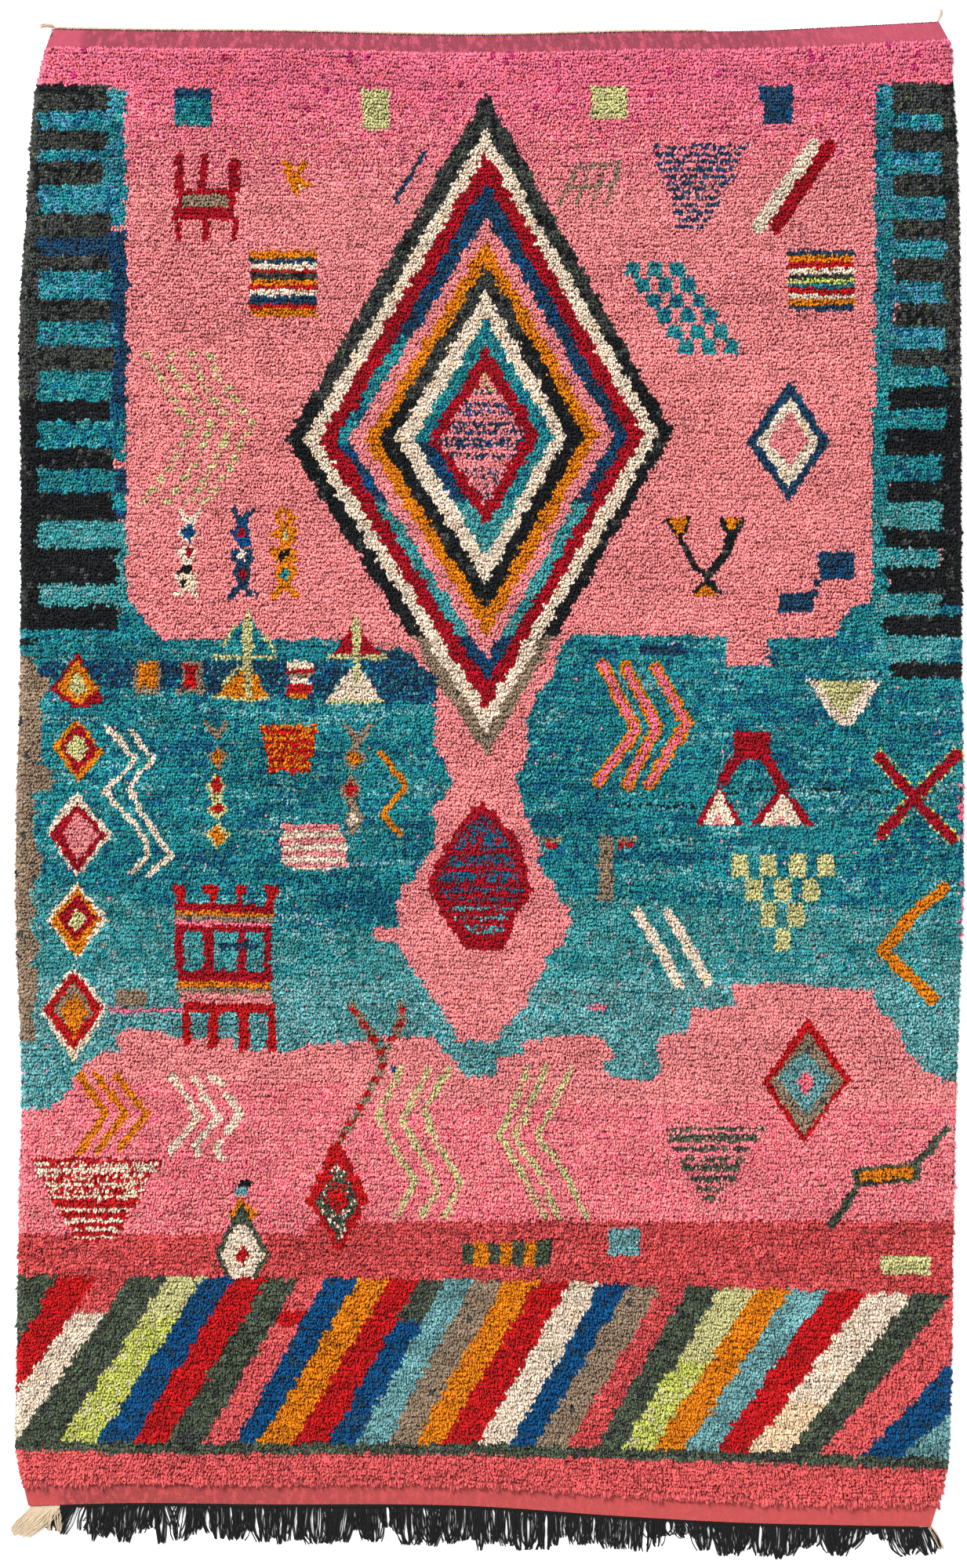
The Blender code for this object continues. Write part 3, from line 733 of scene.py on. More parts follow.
GREEN_ZIGZAGS = (
    ((128, 340.5), (120.5, 355), (126, 367), (132, 377), (126, 388)),
    ((136.5, 340.5), (128, 357), (134.5, 369), (140, 379), (134, 388)),
    ((143, 340.5), (135, 354), (140, 366), (147, 377), (141.5, 388)),
    ((168.5, 340), (159.5, 362), (165.5, 373), (173.5, 388)),
    ((174.5, 340), (164, 362.5), (171.5, 373), (178, 388)),
    ((182, 340.5), (171.5, 362), (179.5, 373), (187, 388)),
)
paint_lines(LINES)
CROSS_ARMS = (((280.5, 241), (291.5, 254.5), (303.5, 267)), ((305, 240.5), (293, 253), (281, 266)))
for arm in CROSS_ARMS:
    paint("wine", near_line(arm, 3.4))
cross_edge = near_line(CROSS_ARMS[0], 5.25) | near_line(CROSS_ARMS[1], 5.25)
cross = near_line(CROSS_ARMS[0], 3.5) | near_line(CROSS_ARMS[1], 3.5)
paint("lime", cross_edge & ~cross, 0.45)
for route in ORANGE_CHEVRONS:
    paint("orange", near_line(route, 2.25))
for route in PINK_CHEVRONS:
    paint("orange", near_line(route, 4))
    paint("rose", near_line(route, 2))
for route in GREEN_DOTTED:
    paint("pale lime", near_line(route, 2.3) & (np.floor(r / 1.2) % 3 < 2), 0.8)
for route in GREEN_ZIGZAGS:
    paint("pale lime", near_line(route, 2.1), 0.85)
for top, foot in ((250, 268), (280, 300), (332, 346), (450, 459)):
    paint("rose", between(r, top, foot) & (c > 306.3))
print(len(LINES), "lines")

# %% Cups and the dotted tail
# two yarns, rows of each, then top left, top right, foot right and foot left corners
CUPS = (
    ("navy", None, 1.15, (208, 46), (238.5, 46), (225, 72.5), (216, 72.5)),
    ("orange", "red", 1.5, (83, 231), (101.5, 231), (98.5, 246), (86, 246)),
)
for first, second, rows, *corners in CUPS:
    cup = inside(corners)
    odd = np.floor((r - corners[0][1]) / rows) % 2 == 1
    paint(first, cup & ~odd, 0.85)
    if second:
        paint(second, cup & odd, 0.85)
        paint(first, cup & odd & (share > 0.85))
        paint(second, cup & ~odd & (share > 0.85))
pale_cup = inside(((8.5, 369), (51.5, 370), (36, 395.5), (24, 395.5)))
paint("red", pale_cup)
paint("cream", pale_cup & between(r, 374.6, 381), 0.4)
PALE_ROWS = (
    (370.8, 371.8), (372.4, 374.1), (377.2, 378.2), (381.2, 382.3), (385, 386.4), (388.6, 389.8),
    (391.6, 392.7), (394.2, 395.2),
)
for top, foot in PALE_ROWS:
    paint("cream", pale_cup & between(calm_r, top, foot), 0.88)
# first and last column and row of each green row of the last cup
CUP_ROWS = (
    (213, 244, 359.5, 360.5), (213, 242, 361.7, 364.2), (214.5, 240, 365.8, 367),
    (217, 237, 368.8, 370.2), (218, 236, 371, 373.3), (220.5, 235, 375, 376.7), (222, 231.5, 378.5, 380),
    (224, 230, 381.8, 383),
)
for start, end, top, foot in CUP_ROWS:
    paint("bottle green", between(calm_c, start, end) & between(calm_r, top, foot), 0.88)
TAILS = (
    ((112, 320.5), (117, 328), (120.5, 334), (122.3, 338), (121, 342), (107.5, 365)),
    ((128, 320.5), (128.3, 325.5), (123, 334)),
)
tail = near_line(TAILS[0], 2.0) | near_line(TAILS[1], 2.0)
paint("red", tail & (np.floor((calm_r - 319) / 2.2) % 2 == 1), 0.9)
ring = inside(((107.5, 371), (114.5, 382.25), (107.5, 396.75), (100.75, 383.5)))
paint("red", inside(((107.25, 363), (118, 382), (107.5, 400), (97.5, 382.5))))
paint("bottle green", ring)
paint("cream", ring, 0.25)
paint("red", inside(((107.25, 376), (111.5, 382), (107.25, 388), (103, 382))), 0.8)
print(len(CUPS) + 2, "cups")

# %% House
HOUSE = (
    (
        "bottle green", (76.5, 382), (80.5, 391), (86, 399.5), (82, 407.5), (72, 407.5), (68.5, 400),
        (73, 391),
    ),
    ("cream", (76.5, 389), (79, 392), (84, 400), (80.5, 407.5), (73.5, 407.5), (70, 400), (74.5, 392)),
    ("red", (77, 397.25), (79.25, 400.5), (77.25, 403.5), (75, 400.5)),
    ("bottle green", (76.5, 385), (79.5, 390), (74, 390)),
)
paint_shapes(HOUSE)
paint_lines((("orange", 1.2, (74.5, 386), (76.5, 383.5), (80.5, 386)),))
CHIMNEY = (
    ("orange", 75, 78, 382.5, 384), ("light blue", 75, 79, 378.25, 381.5), ("black", 76, 80, 376, 378.25),
)
paint_blocks(CHIMNEY)
print("house of", len(HOUSE), "shapes")

# %% [markdown]
# ### Crimson band and slanting stripes
# The last part of the rug is a crimson band above a field of slanting stripes. Each stripe is given by
# the column of its right edge at the top and at the foot, and runs straight between them. In some of
# them the weaver ran out of a yarn and went on in another.

# %% Crimson band and stripes
# yarn, then the column of the right edge at the top and at the foot
SLANTS = (
    ("bottle green", 18.75, -14), ("red", 31, -5), ("rose", 41.5, 5), ("bottle green", 53.5, 18.5),
    ("lime", 65.25, 30.5), ("blue", 74.5, 42), ("red", 85.5, 52.75), ("bottle green", 95.5, 64.5),
    ("coral", 104, 74.5), ("blue", 114.25, 82.5), ("orange", 124.5, 93.5), ("red", 133.75, 104.5),
    ("bottle green", 142.25, 113.5), ("light blue", 151, 123.25), ("taupe", 161.25, 132.5),
    ("orange", 171.75, 140.5), ("red", 181.5, 152.25), ("cream", 192, 162.5), ("blue", 200.5, 170.5),
    ("taupe", 210.5, 181), ("crimson", 219.25, 190), ("bottle green", 230, 198), ("lime", 241, 208.5),
    ("orange", 252, 218.5), ("light blue", 264, 228), ("red", 277, 238.5), ("cream", 291, 251),
    ("bottle green", 303.25, 261.5), ("coral", 323, 275), ("blue", 345, 287.5), ("light blue", 380, 305),
)
band_top = np.where(c < 98, 393.5, 389.5)
paint("crimson", is_yarn("salmon", "hot pink") & (r > band_top))
stripes_top = np.interp(c, (5, 150, 303), (406.75, 408, 413))
stripes_foot = np.interp(c, (5, 40, 150, 303), (459, 460, 460.5, 465))
down_stripe = np.clip((r - stripes_top) / (stripes_foot - stripes_top), 0, 1)
stripes = between(r, stripes_top, stripes_foot)
# column of a stripe's right edge at the top, its other yarn, and the rows of that yarn
OTHER_YARNS = ((104, "red", 418, 422.5), (142.25, "blue", 421.75, 480), (291, "straw", 447, 480))
edge = np.full(tufts, -1e9)
for yarn, top_column, foot_column in SLANTS:
    end = top_column + (foot_column - top_column) * down_stripe
    stripe = stripes & (c >= edge) & (c < end)
    paint(yarn, stripe)
    if yarn == "rose":
        paint("crimson", stripe & (r < 416.5))
        paint("coral", stripe & (r > 416.5))
        paint("cream", stripe & (r > 418.75))
    if yarn == "lime":
        paint("pale lime", stripe & (r < np.where(c < 150, 419, 434)))
    for column, other, start_row, end_row in OTHER_YARNS:
        if top_column == column:
            paint(other, stripe & between(r, start_row, end_row))
    edge = end
paint("bottle green", between(r, stripes_foot, stripes_foot + 3.5))
paint("coral", r >= stripes_foot + 3.5)
print(len(SLANTS), "slanting stripes")

# %% [markdown]
# ### Flecks
# Hand-spun wool takes dye unevenly, and a few strands of a neighbouring tone get spun in. So in patches
# that run along the rows, some locks of a yarn turn to another one. A few locks near the heading are
# magenta.

# %% Flecks from uneven dyeing
# yarn, the yarn of its flecks, their share of the locks
FLECKS = (
    ("blue teal", "green teal", 0.2), ("blue teal", "deep teal", 0.18),
    ("green teal", "light blue", 0.14), ("green teal", "blue teal", 0.14),
    ("light blue", "pale teal", 0.25), ("navy", "blue", 0.18), ("blue", "navy", 0.12),
    ("charcoal", "black", 0.16), ("charcoal", "bottle green", 0.07), ("black", "charcoal", 0.1),
    ("bottle green", "charcoal", 0.2), ("cream", "straw", 0.06), ("crimson", "coral", 0.2),
    ("lime", "pale lime", 0.25), ("taupe", "charcoal", 0.02), ("salmon", "pink", 0.3),
    ("rose", "hot pink", 0.2),
)
original = wool.copy()
for yarn, fleck, part in FLECKS:
    luck = np.random.default_rng(len(yarn) * 100 + len(fleck)).random(lock_of.max() + 1)[lock_of]
    near = 2.6 * patches(11, 1.7, len(yarn) + 7 * len(fleck)) ** 1.5
    wool[(original == YARN_NAMES.index(yarn)) & (luck < part * near)] = YARN_NAMES.index(fleck)
upper_combs = ((c > 274) | (c < 40)) & (r < 112)
paint("dusty blue", is_yarn("blue teal") & upper_combs & (of_each(lock_of, 1) > 0.1))
magenta_locks = of_each(lock_of, 1) > 2.25 - 0.4 * patches(20, 12, 9)
paint("magenta", is_yarn("rose", "hot pink") & magenta_locks & (r < 75))
print(np.count_nonzero(wool != original), "tufts of another tone")

# %% [markdown]
# ## Shapes that repeat
# A tuft, a twist of yarn and a fringe thread each repeat hundreds or thousands of times. Each is
# modelled once, as by hand, and its points are then copied as arrays into one joined mesh. Modifiers
# or instances could do it too, but arrays let every copy lean and bend its own way and stay light.

# %% Helpers for repeated shapes
def pick(obj, test):
    """In edit mode, select only the vertices whose place passes the test."""
    bpy.ops.mesh.select_all(action="DESELECT")
    shape = bmesh.from_edit_mesh(obj.data)
    for vertex in shape.verts:
        if test(vertex.co):
            vertex.select_set(True)
    shape.select_flush(True)
    bmesh.update_edit_mesh(obj.data)


def take_shape(obj):
    """The points and triangles of a modelled shape, as arrays. The shape itself is removed."""
    points = np.array([vertex.co[:] for vertex in obj.data.vertices])
    faces = np.array([tuple(face.vertices) for face in obj.data.polygons])
    bpy.data.objects.remove(obj)
    return points, faces


def join_copies(name, places, faces):
    """One smooth mesh from copies of a shape. Each copy has its own row of places."""
    copies, corners = places.shape[:2]
    joined = (faces[None] + (np.arange(copies) * corners)[:, None, None]).reshape(-1, 3)
    mesh = bpy.data.meshes.new(name)
    mesh.vertices.add(copies * corners)
    mesh.vertices.foreach_set("co", places.ravel())
    mesh.loops.add(joined.size)
    mesh.loops.foreach_set("vertex_index", joined.ravel())
    mesh.polygons.add(len(joined))
    mesh.polygons.foreach_set("loop_start", np.arange(0, joined.size, 3))
    mesh.polygons.foreach_set("use_smooth", np.ones(len(joined), bool))
    mesh.update(calc_edges=True)
    piece = bpy.data.objects.new(name, mesh)
    bpy.context.collection.objects.link(piece)
    print(name, len(joined), "triangles")
    return piece


# %% [markdown]
# ## Tuft
# A knot of wool ends in a soft pointed lock of fibres. A three-sided cone is the smallest shape that
# reads as one, and with a quarter of a million of them on the rug it has to be small. Its tip is
# pulled towards the fringe, the way the pile lies.

# %% Model a tuft
TUFT_RADIUS = 0.0043
PILE_LEAN = 0.0025

bpy.ops.mesh.primitive_cone_add(
    vertices=3, radius1=TUFT_RADIUS, radius2=0, depth=1, end_fill_type="NOTHING", location=(0, 0, 0.5)
)
tuft = bpy.context.object
bpy.ops.object.transform_apply(location=True)
bpy.ops.object.mode_set(mode="EDIT")
pick(tuft, lambda place: place.z > 0.5)
bpy.ops.transform.translate(value=(0, -PILE_LEAN, 0))
bpy.ops.mesh.select_all(action="SELECT")
bpy.ops.mesh.normals_make_consistent(inside=False)
bpy.ops.object.mode_set(mode="OBJECT")
tuft_points, tuft_faces = take_shape(tuft)
print(len(tuft_points), "points and", len(tuft_faces), "faces in a tuft")

# %% [markdown]
# ## Pile
# The pile is not level. It swells in slow lumps where the knots are packed tighter, it is rounded down
# at the selvedges, and each tuft leans its own way. The tufts get their heights and leans here, and
# their colour from the chart, a little lighter or darker from knot to knot and from row to row. Each
# tuft also gets painted shade at its root and painted light at its tip.

# %% Heights and leans
LUMP_HEIGHT = 0.0016
RIDGE_SPACING, RIDGE_BEND = 0.62, 0.83
ROW_SPACING, ROW_BEND = 0.29, 0.47
RIM_HEIGHT = 0.008
RIM_ROUNDING = 0.016
RIM_SPREAD = 0.004
TUFT_STRETCH = 1.5
CLING = 0.3

ridge = np.sin(2 * np.pi * tuft_x / RIDGE_SPACING + np.sin(2 * np.pi * tuft_y / RIDGE_BEND))
beaten = np.sin(2 * np.pi * tuft_y / ROW_SPACING + np.sin(2 * np.pi * tuft_x / ROW_BEND))
left_rim, right_rim = across * RUG_WIDTH, (1 - across) * RUG_WIDTH
from_end = np.minimum(down - pile_start, pile_end - down)
rim = np.clip(np.minimum(np.minimum(left_rim, right_rim), from_end + 0.005) / RIM_ROUNDING, 0, 1)
rim = rim * (2 - rim)
tip_z = RIM_HEIGHT + rim * (PILE_HEIGHT - RIM_HEIGHT + LUMP_HEIGHT * (0.55 * ridge + 0.45 * beaten))
lock_height = of_each(lock_of, 0.0006)
tip_z += np.clip(lock_height, -0.0018, 0.0012) - chance.uniform(0, 0.0038, tufts)
from_rim = np.clip(np.minimum(left_rim, right_rim) / RIM_ROUNDING, 0, 1)
outward = np.where(across < 0.5, -1, 1) * (1 - from_rim)
lock_size = np.bincount(lock_of)
lock_x = (np.bincount(lock_of, tuft_x) / np.maximum(lock_size, 1))[lock_of]
lock_y = (np.bincount(lock_of, tuft_y) / np.maximum(lock_size, 1))[lock_of]
lean_x = CLING * (lock_x - tuft_x) + of_each(lock_of, 0.0012) + chance.normal(0, 0.0012, tufts)
lean_x += RIM_SPREAD * outward
lean_y = CLING * (lock_y - tuft_y) + of_each(lock_of, 0.0015) + chance.normal(0, 0.0015, tufts)
root_z = 0.0006 + 0.003 * np.clip(rim * 2, 0, 1)
last_rows = (from_end < 0.012) & (down > RUG_LENGTH / 2)
lean_y -= last_rows * np.abs(of_each(lock_of, 0.005))
print("tips between", round(float(tip_z.min()), 4), "and", round(float(tip_z.max()), 4))

# %% Colour of each tuft
yarn_colours = np.array([YARNS[name] for name in YARN_NAMES])
dark_part, light_part = yarn_colours / 12.92, ((yarn_colours + 0.055) / 1.055) ** 2.4
linear_yarns = np.where(yarn_colours < 0.04045, dark_part, light_part)
row_tone = chance.normal(0, 0.045, TUFT_ROWS)[tuft_row]
heathered = is_yarn("charcoal", "bottle green", "black", "navy")
teals = is_yarn("blue teal", "green teal", "pale teal", "deep teal", "light blue", "dusty blue")
strong = is_yarn("blue", "red", "wine", "orange", "crimson", "coral")
mottle = np.where(heathered, 0.42, np.where(teals | strong, 0.24, 0.16))
tone = 1 + mottle * chance.normal(0, 1, tufts) + of_each(lock_of, 0.07) * mottle / 0.16 + row_tone
tone += 0.16 * (patches(46, 4, 11) - 0.5)
tone += np.where(heathered | teals, 0.5, 0.2) * (patches(9, 5, 12) - 0.5)
tuft_colour = linear_yarns[wool] * np.clip(tone, 0.5, 1.6)[:, None]
print("mean wool colour", tuft_colour.mean(axis=0).round(3))

# %% Build the pile in lengthwise panels
PANELS = 6
# painted shade and light: each tuft's colour is darkened at its root and lightened at its tip
ROOT_PAINTED_SHADE, TIP_PAINTED_LIGHT = 0.2, 1.15
ROOT_SHADE_LIFT_FOR_PALE_YARNS = 0.38

panel_of = tuft_column * PANELS // TUFT_COLUMNS
is_tip = tuft_points[:, 2] > 0.5
pile_panels = []
for panel in range(PANELS):
    mine = np.flatnonzero(panel_of == panel)
    turn = chance.uniform(0, 2 * np.pi / 3, len(mine))[:, None]
    size = chance.uniform(0.88, 1.15, len(mine))[:, None]
    cos, sin = np.cos(turn) * size, np.sin(turn) * size
    x, y = tuft_points[None, :, 0], np.where(is_tip, 0, tuft_points[:, 1])[None]
    places = np.empty((len(mine), len(tuft_points), 3))
    places[:, :, 0] = tuft_x[mine, None] + x * cos - y * sin + is_tip * lean_x[mine, None]
    places[:, :, 1] = tuft_y[mine, None] + (x * sin + y * cos) * TUFT_STRETCH
    places[:, :, 1] += is_tip * (lean_y[mine, None] - PILE_LEAN)
    places[:, :, 2] = np.where(is_tip, tip_z[mine, None], root_z[mine, None])
    piece = join_copies(f"pile_panel_{panel + 1}", places, tuft_faces)
    # painted shade at each root, less of it for pale yarns, and painted light at each tip
    painted_root_shade = ROOT_PAINTED_SHADE + ROOT_SHADE_LIFT_FOR_PALE_YARNS * tuft_colour[mine].min(axis=1)[:, None]
    painted_root_shade_and_tip_light = np.where(is_tip, TIP_PAINTED_LIGHT, painted_root_shade)
    colour = np.ones((len(mine), len(tuft_points), 4))
    colour[:, :, :3] = tuft_colour[mine, None] * painted_root_shade_and_tip_light[:, :, None]
    # the colour attribute carries the yarn colour with painted shade at the root and painted light at the
    # tip
    dye_and_painted_shade = piece.data.color_attributes.new("wool", "FLOAT_COLOR", "POINT")
    dye_and_painted_shade.data.foreach_set("color", colour.ravel())
    pile_panels.append(piece)
print(sum(len(piece.data.polygons) for piece in pile_panels), "triangles of pile")

# %% A place on the pile's image for each tuft
def lay_out_image(piece, corners, faces):
    """Give each copy of a shape its own square of the piece's image, as seen from above."""
    copies = len(piece.data.vertices) // len(corners)
    side = math.ceil(math.sqrt(copies))
    flat = corners[:, :2] - corners[:, :2].min(axis=0)
    flat = 0.06 + 0.88 * flat / flat.max(axis=0)
    cell = np.stack([np.arange(copies) % side, np.arange(copies) // side], axis=1)
    spots = (cell[:, None, :] + flat[faces.ravel()][None]) / side
    image_map = piece.data.uv_layers.new(name="OFBake")
    image_map.data.foreach_set("uv", spots.astype(np.float32).ravel())


tuft_plan = tuft_points.copy()
tuft_plan[is_tip, :2] = 0
for piece in pile_panels:
    lay_out_image(piece, tuft_plan, tuft_faces)
print("image squares laid out")

# %% [markdown]
# ## Ground cloth
# Under the pile is the ground weave, four millimetres thick. It shows only at the two ends, as a flat
# band beyond the last row of knots. A grid is shaped to the outline of the cloth, and a Solidify
# modifier gives it its thickness, so it is one closed sheet as the real cloth is.

# %% Shape the ground cloth
CLOTH_COLUMNS, CLOTH_ROWS = 72, 96

bpy.ops.mesh.primitive_grid_add(x_subdivisions=CLOTH_COLUMNS, y_subdivisions=CLOTH_ROWS, size=1)
ground_cloth = bpy.context.object
ground_cloth.name = "ground_cloth"
plan = np.empty(len(ground_cloth.data.vertices) * 3)
ground_cloth.data.vertices.foreach_get("co", plan)
plan = plan.reshape(-1, 3)
cloth_across, cloth_down = plan[:, 0] + 0.5, (0.5 - plan[:, 1]) * RUG_LENGTH
cloth_x, cloth_y = on_rug(cloth_across, cloth_down)
thread_count = ground_cloth.data.uv_layers.new(name="weave")
corner_vertex = np.empty(len(ground_cloth.data.loops), np.int32)
ground_cloth.data.loops.foreach_get("vertex_index", corner_vertex)
weave_places = np.stack([cloth_across * RUG_WIDTH, cloth_down], axis=1)[corner_vertex]
thread_count.data.foreach_set("uv", weave_places.astype(np.float32).ravel())
ground_cloth.data.vertices.foreach_set(
    "co", np.stack([cloth_x, cloth_y, np.full(len(cloth_x), GROUND_THICKNESS)], axis=1).ravel()
)
ground_cloth.data.update()
bpy.ops.object.modifier_add(type="SOLIDIFY")
ground_cloth.modifiers[-1].thickness = GROUND_THICKNESS - 0.0001
ground_cloth.modifiers[-1].offset = -1
bpy.ops.object.modifier_apply(modifier=ground_cloth.modifiers[-1].name)
bpy.ops.object.shade_smooth_by_angle(angle=math.radians(40))
bpy.ops.object.select_all(action="DESELECT")
print("ground cloth", [round(v, 4) for v in ground_cloth.dimensions])

# %% [markdown]
# ## Twisted yarns along the ends
# The heading is bound with a cream two-ply cord, and dark warp ends show as dots beside it. At the
# other end the warps are twined in two rows before they hang free. Each of these is a row of slanted
# lens-shaped twists, so one twist is modelled and copied along the edge.

# %% Model a twist
bpy.ops.mesh.primitive_ico_sphere_add(subdivisions=1, radius=1, location=(0, 0, 0))
twist = bpy.context.object
bpy.ops.object.mode_set(mode="EDIT")
pick(twist, lambda place: abs(place.x) > 0.7)
bpy.ops.transform.resize(value=(1.15, 0.8, 0.8))
bpy.ops.object.mode_set(mode="OBJECT")
twist_points, twist_faces = take_shape(twist)
print(len(twist_faces), "faces in a twist")


# %% Lay twists along an edge
def edge_place(share_across, beyond, end_down):
    """X and Y of a place beyond an end of the cloth."""
    x, y = on_rug(share_across, np.full(share_across.shape, end_down))
    return x, y + (beyond if end_down == 0 else -beyond)


def lay_twists(name, x, y, z, size, slant, seed):
    """A row of twists, each size long, wide and high, turned by the slant in degrees."""
    luck = np.random.default_rng(seed)
    turn = np.radians(slant + luck.normal(0, 7, len(x)))[:, None]
    grow = luck.uniform(0.85, 1.12, len(x))[:, None]
    shift = luck.normal(0, 0.0003, len(x))[:, None]
    along, beside, up = (twist_points[None, :, k] * size[k] / 2 * grow for k in range(3))
    twist_x = x[:, None] + along * np.cos(turn) - beside * np.sin(turn)
    twist_y = y[:, None] + along * np.sin(turn) + beside * np.cos(turn) + shift
    return join_copies(name, np.stack([twist_x, twist_y, z[:, None] + up], axis=2), twist_faces)


HEADING_WIDTH, FRINGE_WIDTH = 1.72, 1.73
CORD_COVERS = 0.737
CORD_PITCH, WARP_PITCH, TWINE_PITCH = 0.0040, 0.0045, 0.0046
# length, width and height of a twist
CORD_TWIST = (0.0074, 0.0042, 0.0050)
WARP_TWIST = (0.0030, 0.0022, 0.0022)
TWINE_TWIST = (0.0072, 0.0042, 0.0044)

plies = np.arange(0.004, CORD_COVERS, CORD_PITCH / HEADING_WIDTH)
cord_x, cord_y = edge_place(plies, 0.0026, 0)
heading_cord = lay_twists(
    "plied_heading_cord", cord_x, cord_y, np.full(len(plies), 0.0028), CORD_TWIST, 32, 31
)
warps = np.arange(0.004, 0.998, WARP_PITCH / HEADING_WIDTH)
warps = warps + np.random.default_rng(32).normal(0, 0.0006, len(warps))
warp_x, warp_y = edge_place(warps, -0.0006, 0)
warp_dots = lay_twists("heading_warp_dots", warp_x, warp_y, np.full(len(warps), 0.0040), WARP_TWIST, 80, 33)

# %% Twined rows at the fringe end
BLACK_FIRST, BLACK_LAST = 0.0365, 0.9875

rows = []
for row, slant in enumerate((34, -34)):
    stitches = np.arange(BLACK_FIRST, BLACK_LAST, TWINE_PITCH / FRINGE_WIDTH) + row * 0.0015
    x, y = edge_place(stitches, 0.0012 + 0.0030 * row, RUG_LENGTH)
    z = np.full(len(x), 0.0024)
    rows.append(lay_twists(f"twined_row_{row + 1}", x, y, z, TWINE_TWIST, slant, 40 + row))
print(len(rows), "twined rows")

# %% [markdown]
# ## Fringe
# The warps hang beyond the twining as loose threads. They lie on the floor and cling to each other in
# locks, which bow out and come together at their tips. A thread is a thin four-sided rod cut into
# short lengths, so that it can bend. Each copy follows its own curve.

# %% Model a thread
THREAD_PARTS = 7

bpy.ops.mesh.primitive_cylinder_add(
    vertices=4, radius=1, depth=1, end_fill_type="TRIFAN", location=(0, 0, 0.5)
)
thread = bpy.context.object
bpy.ops.object.transform_apply(location=True)
bpy.ops.object.mode_set(mode="EDIT")
for cut in range(1, THREAD_PARTS):
    bpy.ops.mesh.select_all(action="SELECT")
    bpy.ops.mesh.bisect(plane_co=(0, 0, cut / THREAD_PARTS), plane_no=(0, 0, 1))
pick(thread, lambda place: place.z > 0.99)
bpy.ops.transform.resize(value=(0.7, 0.7, 1))
bpy.ops.mesh.select_all(action="SELECT")
bpy.ops.mesh.quads_convert_to_tris()
bpy.ops.mesh.normals_make_consistent(inside=False)
bpy.ops.object.mode_set(mode="OBJECT")
thread_points, thread_faces = take_shape(thread)
print(len(thread_faces), "triangles in a thread")


# %% Lay threads along curves
def lay_threads(name, roots, tips, bow, radius, seed, lift=0.0016):
    """Threads on the floor from roots to tips, X and Y each, bowed sideways by so much."""
    luck = np.random.default_rng(seed)
    count = len(roots)
    thick = radius * luck.uniform(0.85, 1.15, count)[:, None]
    wave, phase = luck.uniform(0.0004, 0.0024, count)[:, None], luck.uniform(0, 6.28, count)[:, None]
    layer = luck.uniform(0, 1, count)[:, None]
    run = tips - roots
    reach = np.hypot(run[:, 0], run[:, 1])[:, None]
    side = np.stack([-run[:, 1], run[:, 0]], axis=1) / reach

    def curve(t):
        """X, Y and Z at a share of each thread's length."""
        sway = bow[:, None] * np.sin(np.pi * t) ** 0.8 + wave * np.sin(9 * t + phase) * t
        x = roots[:, :1] + run[:, :1] * t + side[:, :1] * sway
        y = roots[:, 1:] + run[:, 1:] * t + side[:, 1:] * sway
        return x, y, thick * 0.95 + lift * layer * np.sin(np.pi * np.clip(t * 1.15, 0, 1))

    t = np.repeat(thread_points[None, :, 2], count, axis=0)
    x, y, z = curve(t)
    ahead_x, ahead_y, _ = curve(t + 0.02)
    turn = np.arctan2(ahead_y - y, ahead_x - x)
    across_thread, up_thread = thread_points[None, :, 0] * thick, thread_points[None, :, 1] * thick
    places = np.stack(
        [x - np.sin(turn) * across_thread, y + np.cos(turn) * across_thread, z + up_thread], axis=2
    )
    return join_copies(name, places, thread_faces)


